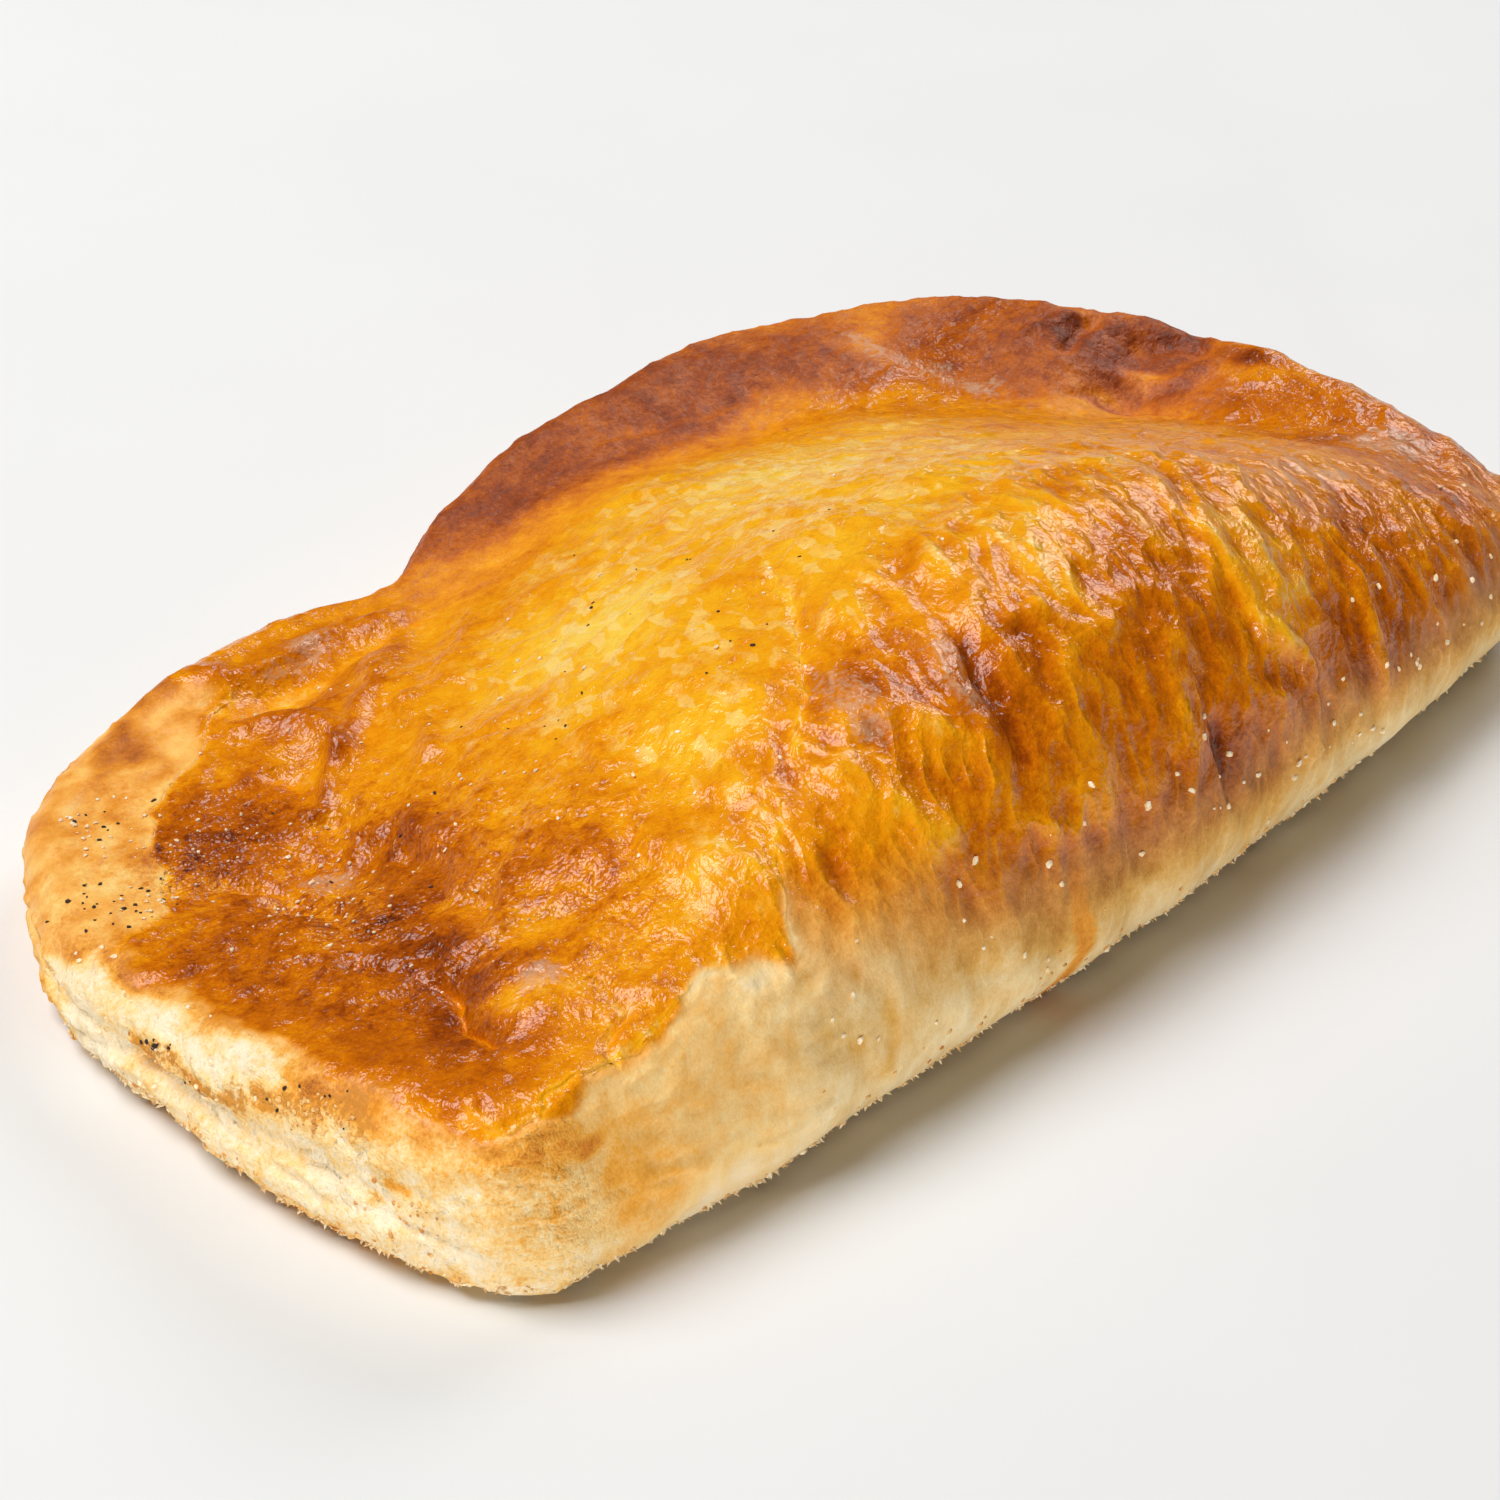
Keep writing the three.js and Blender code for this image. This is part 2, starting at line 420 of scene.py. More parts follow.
class Wire:
    """A node's output that takes part in Python sums."""

    def __init__(self, recipe: "Recipe", socket: bpy.types.NodeSocket) -> None:
        """Keeps the socket.

        Args:
            recipe: The material that the socket belongs to.
            socket: The output socket.
        """
        self.recipe = recipe
        self.socket = socket

    def _sum(self, operation: str, first: "Wire | float", second: "Wire | float") -> "Wire":
        """Adds one Math node.

        Args:
            operation: The Math node's operation.
            first: The first value.
            second: The second value.

        Returns:
            The node's result.
        """
        node = self.recipe.node("ShaderNodeMath", {"operation": operation}, {0: first, 1: second})
        return Wire(self.recipe, node.outputs[0])

    def __add__(self, other: "Wire | float") -> "Wire":
        """Adds."""
        return self._sum("ADD", self, other)

    def __radd__(self, other: float) -> "Wire":
        """Adds to a number."""
        return self._sum("ADD", other, self)

    def __sub__(self, other: "Wire | float") -> "Wire":
        """Takes away."""
        return self._sum("SUBTRACT", self, other)

    def __rsub__(self, other: float) -> "Wire":
        """Takes away from a number."""
        return self._sum("SUBTRACT", other, self)

    def __mul__(self, other: "Wire | float") -> "Wire":
        """Multiplies."""
        return self._sum("MULTIPLY", self, other)

    def __rmul__(self, other: float) -> "Wire":
        """Multiplies a number."""
        return self._sum("MULTIPLY", other, self)

    def __abs__(self) -> "Wire":
        """Drops the sign."""
        return self._sum("ABSOLUTE", self, 0.0)

class Recipe:
    """One material's nodes."""

    SHARD_BEND = 0.7

    def __init__(self, name: str) -> None:
        """Starts an empty material.

        Args:
            name: The material's name.
        """
        self.material = bpy.data.materials.new(name)
        self.material.use_nodes = True
        self.tree = self.material.node_tree
        self.tree.nodes.clear()
        self.coordinates = self.node("ShaderNodeTexCoord").outputs["Object"]

    def node(
        self,
        kind: str,
        settings: dict[str, object] | None = None,
        inputs: dict[str | int, object] | None = None,
    ) -> bpy.types.Node:
        """Adds a node.

        Args:
            kind: The node's type.
            settings: The node's own settings, set first; stops are a colour ramp's stops.
            inputs: Values, wires or sockets for its inputs.

        Returns:
            The node.
        """
        node = self.tree.nodes.new(kind)
        for key, value in (settings or {}).items():
            if key == "stops":
                elements = node.color_ramp.elements
                for _ in range(len(value) - len(elements)):
                    elements.new(1.0)
                for element, (position, colour) in zip(elements, value):
                    element.position = position
                    element.color = colour
            else:
                setattr(node, key, value)
        for key, value in (inputs or {}).items():
            socket = node.inputs[key]
            if isinstance(value, Wire):
                self.tree.links.new(value.socket, socket)
            elif isinstance(value, bpy.types.NodeSocket):
                self.tree.links.new(value, socket)
            else:
                socket.default_value = value
        return node

    def attribute(self, mark: Mark) -> Wire:
        """Reads a number that the mesh keeps at its points."""
        node = self.node("ShaderNodeAttribute", {"attribute_name": mark.value})
        return Wire(self, node.outputs["Fac"])

    def noise(
        self,
        size: float,
        detail: float = 2.0,
        drawn: Triple = (1.0, 1.0, 1.0),
        turn: Triple = (0.0, 0.0, 0.0),
    ) -> Wire:
        """Adds noise on the object's own coordinates.

        Args:
            size: The width of a wave in millimetres.
            detail: How many finer layers it has.
            drawn: How far the waves are drawn out along each turned axis.
            turn: How far the pattern is turned about each axis.

        Returns:
            Numbers around 0.5.
        """
        laid = self.node(
            "ShaderNodeMapping",
            {"vector_type": "TEXTURE"},
            {"Vector": self.coordinates, "Rotation": turn, "Scale": drawn},
        )
        node = self.node(
            "ShaderNodeTexNoise",
            {"noise_dimensions": "3D"},
            {"Vector": laid.outputs[0], "Scale": 1 / (size * MM), "Detail": detail},
        )
        return Wire(self, node.outputs[0])

    def shards(self, size: float, drawn: Triple, turn: Triple) -> Wire:
        """Breaks the surface into angular patches, each with a number of its own.

        Args:
            size: The width of a patch in millimetres.
            drawn: How far the patches are drawn out along each turned axis.
            turn: How far the pattern is turned about each axis.

        Returns:
            Numbers from 0 to 1.
        """
        bent = self.node(
            "ShaderNodeTexNoise", None, {"Vector": self.coordinates, "Scale": self.SHARD_BEND / (size * MM)}
        )
        shift = self.node(
            "ShaderNodeVectorMath",
            {"operation": "MULTIPLY_ADD"},
            {0: bent.outputs["Color"], 1: (self.SHARD_BEND * size * MM,) * 3, 2: self.coordinates},
        )
        laid = self.node(
            "ShaderNodeMapping",
            {"vector_type": "TEXTURE"},
            {"Vector": shift.outputs[0], "Rotation": turn, "Scale": drawn},
        )
        cells = self.node("ShaderNodeTexVoronoi", None, {"Vector": laid.outputs[0], "Scale": 1 / (size * MM)})
        return Wire(self, cells.outputs["Color"])

    def bubbles(self, size: float) -> Wire:
        """Covers the surface with small round bubbles.

        Args:
            size: The width of a bubble in millimetres.

        Returns:
            Numbers from 0 between bubbles to about 1 on top of them.
        """
        cells = self.node(
            "ShaderNodeTexVoronoi", None, {"Vector": self.coordinates, "Scale": 1 / (size * MM)}
        )
        return 1 - Wire(self, cells.outputs["Distance"])

    def step(self, value: Wire, start: float, end: float) -> Wire:
        """Eases a value from 0 to 1.

        Args:
            value: The value.
            start: Where it gives 0.
            end: Where it gives 1.

        Returns:
            The eased value.
        """
        node = self.node(
            "ShaderNodeMapRange",
            {"interpolation_type": "SMOOTHSTEP"},
            {"Value": value, "From Min": start, "From Max": end},
        )
        return Wire(self, node.outputs[0])

    def shades(self, value: Wire, stops: Stops) -> bpy.types.NodeSocket:
        """Turns a value into colours.

        Args:
            value: The value.
            stops: Positions and display colours.

        Returns:
            The colour.
        """
        listed = [(position, linear(colour)) for position, colour in stops]
        return self.node("ShaderNodeValToRGB", {"stops": listed}, {0: value}).outputs[0]

    def blend(self, share: Wire, first: object, second: object) -> bpy.types.NodeSocket:
        """Mixes two colours.

        Args:
            share: How much of the second colour there is.
            first: The first colour.
            second: The second colour.

        Returns:
            The mixed colour.
        """
        node = self.node("ShaderNodeMix", {"data_type": "RGBA"}, {0: share, 6: first, 7: second})
        return node.outputs[2]

    def bump(self, height: Wire, rise: float) -> bpy.types.NodeSocket:
        """Turns heights into a bumped normal.

        Args:
            height: The heights, as shares of the rise.
            rise: The height that 1 stands for, in millimetres.

        Returns:
            The normal.
        """
        return self.node("ShaderNodeBump", None, {"Height": height, "Distance": rise * MM}).outputs[0]

    def finish(self, inputs: dict[str, object]) -> bpy.types.Material:
        """Ends the material in one Principled shader.

        Args:
            inputs: The shader's values and links.

        Returns:
            The material.
        """
        shader = self.node("ShaderNodeBsdfPrincipled", None, inputs)
        self.node("ShaderNodeOutputMaterial", None, {0: shader.outputs[0]})
        return self.material

@dataclass(frozen=True)
class CrustWires:
    """The noises and marks that the crust's colour, height and gloss are worked out from."""

    broad: Wire
    middle: Wire
    fine: Wire
    pores: Wire
    folds: Wire
    crinkles: Wire
    wash: Wire
    ruffle: Wire
    grit: Wire
    baked: Wire


@dataclass(frozen=True)
class CrustFinish:
    """Baked puff pastry, egg-washed and glossy on top, dry and pale on the sides."""

    # Shades from palest to darkest, the colour of the spice that lies on them, a pale yellow for thin places
    # of the film and the glints painted on them, and a pale pink for painted sheen and for flour.
    washed: Stops = (
        (0.0, "ffd24c"),
        (0.18, "fcb61c"),
        (0.38, "f09608"),
        (0.58, "cc6a02"),
        (0.78, "9c4402"),
        (1.0, "5c1f02"),
    )
    dry: Stops = (
        (0.0, "ffedca"),
        (0.25, "fdd68e"),
        (0.5, "f5ac3e"),
        (0.75, "dc8622"),
        (1.0, "94460e"),
    )
    hanging: Stops = (
        (0.0, "fff0cc"),
        (0.25, "f4d69c"),
        (0.5, "e4b05a"),
        (0.75, "c48430"),
        (1.0, "824610"),
    )
    # Pale thin film, with glints painted on it.
    thin_film_glint: str = "ffe08c"
    spice: str = "d0882a"
    # Painted pale sheen, and flour.
    bloom: str = "f0d0a8"

    # Widths of the noises in millimetres, each with its detail.
    broad: Pair = (9.0, 2.0)
    middle: Pair = (2.6, 3.0)
    fine: Pair = (0.6, 2.0)
    pores: Pair = (0.26, 1.0)
    drawn_folds: Pair = (2.6, 0.6)
    loose_folds: Pair = (4.0, 4.0)
    crinkles: Pair = (1.5, 1.5)
    blots: Pair = (1.4, 2.0)
    fold_drawn: Triple = (1.0, 2.0, 2.0)
    fold_turn: Triple = (0.0, 0.0, -0.35)
    shard_size: float = 1.2
    bubble_size: float = 0.6

    # How far each of them shifts the browning.
    mottling: float = 0.3
    gritty_mottling: float = 0.3
    fine_grain: float = 0.5
    pore_grain: float = 0.4
    plain_grain: float = 0.15
    baked_grain: float = 0.5
    gritty_grain: float = 0.6
    # Painted shade in the hollows between the film's folds, and painted sheen along their ridges.
    fold_shade: float = 0.5
    fold_mean: float = 0.1
    blot_edge: Pair = (0.54, 0.66)
    plain_blots: float = 0.05
    gritty_blots: float = 0.15
    dry_blots: float = 0.3

    # Where one colour gives way to the next, and how far it covers it.
    hanging_edge: Pair = (0.3, 0.9)
    # The thin film's angular patches, partly painted glints.
    shard_edge: Pair = (0.64, 0.72)
    pale_edge: Pair = (0.4, 0.15)
    thin_film_glint_cover: float = 0.45
    spice_swing: float = 1.4
    spice_edge: Pair = (0.7, 1.05)
    spice_cover: float = 0.8
    # The painted pale sheen and the flour.
    sheen_swing: float = 1.2
    sheen_edge: Pair = (0.4, 0.9)
    sheen_cover: float = 0.35

    # Heights on the washed film, as shares of the bump's rise in millimetres.
    bump_rise: float = 1.0
    film_swell: float = 0.25
    film_folds: float = 0.9
    film_streaks: float = 0.3
    film_grain: float = 0.1
    film_pores: float = 0.05
    film_bubbles: float = 0.3
    film_crinkles: float = 0.3

    # Heights on the dry crumb, as shares of the same rise.
    crumb_swell: float = 0.15
    crumb_grain: float = 0.06
    crumb_grit: float = 0.28
    crumb_pores: float = 0.03
    crumb_pits: float = 0.14
    crumb_streaks: float = 0.3

    # Roughness, and how far the wash's gloss and the noises change it.
    rough: float = 0.9
    gloss: float = 0.72
    rough_swell: float = 0.2
    rough_grain: float = 0.1
    specular: float = 0.42

    def make(self) -> bpy.types.Material:
        """Builds the material.

        Returns:
            The material.
        """
        r = Recipe("baked_crust")
        w = self.wires(r)
        return r.finish(
            {
                "Base Color": self.colour(r, w),
                "Roughness": self.roughness(r, w),
                "Specular IOR Level": self.specular,
                "Normal": r.bump(self.height(r, w), self.bump_rise),
            }
        )

    def wires(self, r: Recipe) -> CrustWires:
        """Adds the noises and reads the skin's marks.

        Args:
            r: The material's nodes.

        Returns:
            The wires.
        """
        ruffle = r.attribute(Mark.RUFFLE)
        drawn = abs(r.noise(*self.drawn_folds, self.fold_drawn, self.fold_turn) - MID)
        loose = abs(r.noise(*self.loose_folds) - MID)
        return CrustWires(
            broad=r.noise(*self.broad),
            middle=r.noise(*self.middle),
            fine=r.noise(*self.fine),
            pores=r.noise(*self.pores),
            folds=drawn * ruffle + loose * (1 - ruffle),
            crinkles=abs(r.noise(*self.crinkles) - MID),
            wash=r.attribute(Mark.WASH),
            ruffle=ruffle,
            grit=r.attribute(Mark.GRIT),
            baked=r.attribute(Mark.BAKE),
        )

    def browning(self, r: Recipe, w: CrustWires) -> Wire:
        """Works out how brown the crust is, down to its finest grain, with painted shade in the hollows of the
        film's folds and painted sheen on their ridges.

        Args:
            r: The material's nodes.
            w: The noises and marks.

        Returns:
            Numbers from about 0, palest, to 1, darkest.
        """
        mottling = self.mottling + w.grit * self.gritty_mottling
        bake = w.baked + (w.broad - MID) * mottling + (w.middle - MID) * mottling
        grain = (w.fine - MID) * self.fine_grain + (w.pores - MID) * self.pore_grain
        grainy = self.plain_grain + w.baked * self.baked_grain + w.grit * self.gritty_grain
        # Painted shade in the hollows between folds, paler painted sheen on their ridges.
        bake = bake + grain * grainy + (w.folds - self.fold_mean) * self.fold_shade
        blots = r.step(r.noise(*self.blots), *self.blot_edge)
        blotted = self.plain_blots + w.grit * self.gritty_blots
        return bake + blots * blotted * (self.dry_blots + w.wash * (1 - self.dry_blots))

    def colour(self, r: Recipe, w: CrustWires) -> bpy.types.NodeSocket:
        """Lays the browned shades, then the thin places of the film with their painted glints, the spice, and
        a painted pale sheen with some flour.

        Args:
            r: The material's nodes.
            w: The noises and marks.

        Returns:
            The colour.
        """
        bake = self.browning(r, w)
        hanging = r.step(w.ruffle, *self.hanging_edge)
        unwashed = r.blend(hanging, r.shades(bake, self.dry), r.shades(bake, self.hanging))
        colour = r.blend(w.wash, unwashed, r.shades(bake, self.washed))
        # Pale thin places of the film in angular patches, partly painted glints off its crinkles.
        shards = r.shards(self.shard_size, self.fold_drawn, self.fold_turn)
        thin_film_glint = r.step(shards, *self.shard_edge) * r.step(bake, *self.pale_edge) * w.wash
        colour = r.blend(thin_film_glint * self.thin_film_glint_cover, colour, linear(self.thin_film_glint))
        swing = (w.middle - MID) + (w.fine - MID)
        spice = r.step(r.attribute(Mark.SPICE) + swing * self.spice_swing, *self.spice_edge)
        colour = r.blend(spice * self.spice_cover, colour, linear(self.spice))
        # A pale sheen painted onto the film, with flour in the groove by the far rim.
        bloom = r.step(r.attribute(Mark.BLOOM) + swing * self.sheen_swing, *self.sheen_edge)
        return r.blend(bloom * self.sheen_cover, colour, linear(self.bloom))

    def height(self, r: Recipe, w: CrustWires) -> Wire:
        """Adds up the finest relief: folds and bubbles on the film, grain on the dry crumb.

        Args:
            r: The material's nodes.
            w: The noises and marks.

        Returns:
            Heights as shares of the bump's rise.
        """
        film = w.middle * self.film_swell - w.folds * (self.film_folds + w.ruffle * self.film_streaks)
        film = film + w.fine * self.film_grain + w.pores * self.film_pores
        film = film + r.bubbles(self.bubble_size) * w.grit * self.film_bubbles
        film = film - w.crinkles * self.film_crinkles
        crumb = w.middle * self.crumb_swell + w.fine * (self.crumb_grain + w.grit * self.crumb_grit)
        crumb = crumb + w.pores * (self.crumb_pores + w.grit * self.crumb_pits)
        crumb = crumb - w.folds * w.ruffle * self.crumb_streaks
        return film * w.wash + crumb * (1 - w.wash)

    def roughness(self, r: Recipe, w: CrustWires) -> Wire:
        """Works out the roughness, lowest on the glossy film.

        Args:
            r: The material's nodes.
            w: The noises and marks.

        Returns:
            Numbers from about 0.1 to 1.
        """
        rough = self.rough - r.attribute(Mark.GLOSS) * self.gloss
        return rough + (w.middle - MID) * self.rough_swell + (w.fine - MID) * self.rough_grain


@dataclass(frozen=True)
class SpeckFinish:
    """Small loose things on the crust: one shade mottled with another."""

    name: str
    light: str
    dark: str
    mottle: float
    rough: float
    detail: float = 2.0
    edge: Pair = (0.35, 0.65)
    rough_swing: float = 0.2
    grain_share: float = 0.5
    bump_share: float = 0.125

    def make(self) -> bpy.types.Material:
        """Builds the material.

        Returns:
            The material.
        """
        r = Recipe(self.name)
        mottle = r.noise(self.mottle, self.detail)
        grain = r.noise(self.mottle * self.grain_share, self.detail)
        return r.finish(
            {
                "Base Color": r.blend(r.step(mottle, *self.edge), linear(self.dark), linear(self.light)),
                "Roughness": self.rough + (mottle - MID) * self.rough_swing,
                "Normal": r.bump(grain, self.mottle * self.bump_share),
            }
        )


@dataclass(frozen=True)
class FloorFinish:
    """A plain pale board with the faintest mottling."""

    light: str = "eeeeed"
    dark: str = "eaeae9"
    mottle: float = 40.0
    grain: float = 2.0
    rough: float = 0.9
    rough_swing: float = 0.1
    specular: float = 0.1

    def make(self) -> bpy.types.Material:
        """Builds the material.

        Returns:
            The material.
        """
        r = Recipe("pale_board")
        return r.finish(
            {
                "Base Color": r.blend(r.noise(self.mottle), linear(self.dark), linear(self.light)),
                "Roughness": self.rough + (r.noise(self.grain) - MID) * self.rough_swing,
                "Specular IOR Level": self.specular,
            }
        )


# The browned, gritty part of the near lobe.
NEAR_PATCH = Oval((-62, -2), (24, 46))
NEAR_PATCH_SOFT = 0.4


@dataclass(frozen=True)
class EggWash:
    """Where the egg wash lies: over the top, down the fold's side, and on the back and far edges.

    Lines are in millimetres on the side that they are drawn on. A pair is a stretch over which the
    wash comes in, along the axis that its name ends in.
    """

    near_patch: tuple[Pair, ...] = (
        (-44, 60), (-43, 46), (-41, 41), (-50, 34.5), (-60, 30.5), (-63.5, 26.5), (-70.5, 18),
        (-72, 14.5), (-96, 13),
    )
    fold_film: tuple[Pair, ...] = (
        (-96, 15), (-84, 17), (-80, 17.7), (-74, 18.2), (-70, 18.6), (-60, 21.3), (-55, 21),
        (-50, 21.5), (-47, 24.5), (-41, 29),
    )
    end_film: tuple[Pair, ...] = (
        (-80.5, 30), (-81, 13.5), (-82, 5), (-83.6, -4), (-84.4, -11), (-85.2, -17.5), (-85.8, -22),
        (-86, -30), (-85.5, -34), (-85.5, -60),
    )
    film_edge: Pair = (-0.5, 0.5)
    border_wash: float = 0.6

    # The top, down to a share of the border's height.
    near_border: float = 12.0
    far_border: float = 21.0
    border_x: Pair = (-40.0, 5.0)
    border_shares: Pair = (0.58, 0.7)
    faces_up: Pair = (0.05, 0.45)
    end_waver: float = 1.4
    end_waver_size: float = 3.0
    end_waver_layers: int = 2
    end_edge: Pair = (-2.2, 0.6)

    # The fold's side: torn near the near end, and fading out lower and lower beyond.
    fold_y: Pair = (-20.0, -36.0)
    torn_x: Pair = (-39.0, -43.0)
    fading_x: Pair = (-52.0, -44.0)
    lower_x: Pair = (-41.0, -12.0)
    lowest_x: Pair = (0.0, 50.0)
    lowest_share: float = 0.4
    fade_foot: float = 12.5
    fade_foot_drop: float = 4.0
    fade_head: float = 26.0
    fade_head_drop: float = 5.0

    # The back and the far end.
    back_x: Pair = (-20.0, -5.0)
    back_y: Pair = (30.0, 40.0)
    back_z: Pair = (9.0, 13.0)
    far_x: Pair = (60.0, 72.0)
    far_z: Pair = (8.0, 14.0)

    def past_end(self, skin: SkinPoints) -> np.ndarray:
        """Measures how far in from the film's near edge the points are, below 0 on the near end."""
        return skin.line(self.end_film, Side.TOP)[1]

    def inside(self, skin: SkinPoints) -> np.ndarray:
        """Tells the film, which is 1, from the lobe's pale border, which is 0."""
        return ramp(skin.line(self.near_patch, Side.TOP)[1], *self.film_edge)

    def on_fold(self, skin: SkinPoints) -> np.ndarray:
        """Says where the wash is on the fold's side.

        Args:
            skin: The skin's points.

        Returns:
            Numbers from 0, dry, to 1, washed.
        """
        x = skin.place[:, 0]
        torn = ramp(skin.line(self.fold_film, Side.FOLD)[1], *self.film_edge)
        lower = ramp(x, *self.lower_x) + self.lowest_share * ramp(x, *self.lowest_x)
        foot = self.fade_foot - self.fade_foot_drop * lower
        head = self.fade_head - self.fade_head_drop * lower
        fading = ramp(skin.wavered[:, 2], foot, head)
        return np.maximum(torn * ramp(x, *self.torn_x), fading * ramp(x, *self.fading_x))

    def mask(self, skin: SkinPoints) -> np.ndarray:
        """Says where the wash is.

        Args:
            skin: The skin's points.

        Returns:
            Numbers from 0, dry, to 1, washed.
        """
        x, y, z = skin.place.T
        border = self.near_border + (self.far_border - self.near_border) * ramp(x, *self.border_x)
        low, high = self.border_shares
        top = ramp(skin.facing[:, 2], *self.faces_up) * ramp(z, low * border, high * border)
        uneven = skin.noise.layered(skin.place, self.end_waver_size, self.end_waver_layers)
        top *= ramp(self.past_end(skin) + self.end_waver * uneven, *self.end_edge)
        back = ramp(y, *self.back_y) * ramp(z, *self.back_z) * ramp(x, *self.back_x)
        far = ramp(x, *self.far_x) * ramp(z, *self.far_z)
        spread = np.maximum(np.maximum(top, back), far)
        folded = skin.gate(Side.FOLD) * ramp(y, *self.fold_y)
        washed = folded * self.on_fold(skin) + (1 - folded) * spread
        return np.clip(washed * (self.border_wash + (1 - self.border_wash) * self.inside(skin)), 0.0, 1.0)


@dataclass(frozen=True)
class FoldSide:
    """The folded side, where the skin hangs in upright folds and a little filling has run down."""

    flank: Oval = Oval((6, -40), (80, 26))
    flank_soft: float = 0.45
    hanging_x: Pair = (-64.0, -46.0)
    streaked_crest: Oval = Oval((22, -24), (26, 18), -0.4)
    crest_soft: float = 0.6
    plain_streaks: float = 0.25
    drip: tuple[Pair, ...] = ((-14.5, 14.5), (-14.3, 9), (-14.6, 2))
    drip_edge: Pair = (2.2, 1.0)

    def hanging(self, skin: SkinPoints) -> np.ndarray:
        """Says where the skin hangs in upright folds, from 0 to 1."""
        side = skin.gate(Side.FOLD) * ramp(skin.place[:, 0], *self.hanging_x)
        return np.maximum(skin.oval(self.flank, self.flank_soft), side)

    def run_down(self, skin: SkinPoints) -> np.ndarray:
        """Says where the filling has run down, from 0 to 1."""
        return ramp(skin.line(self.drip, Side.FOLD)[0], *self.drip_edge) * skin.gate(Side.FOLD)

    def ruffle(self, skin: SkinPoints) -> np.ndarray:
        """Says where the film is drawn into fine streaks.

        Args:
            skin: The skin's points.

        Returns:
            Numbers from 0 to 1.
        """
        streaked = np.maximum(self.hanging(skin), skin.oval(self.streaked_crest, self.crest_soft))
        drawn = (1 - self.plain_streaks) * streaked * (1 - self.run_down(skin))
        return np.clip(self.plain_streaks + drawn, 0.0, 1.0)


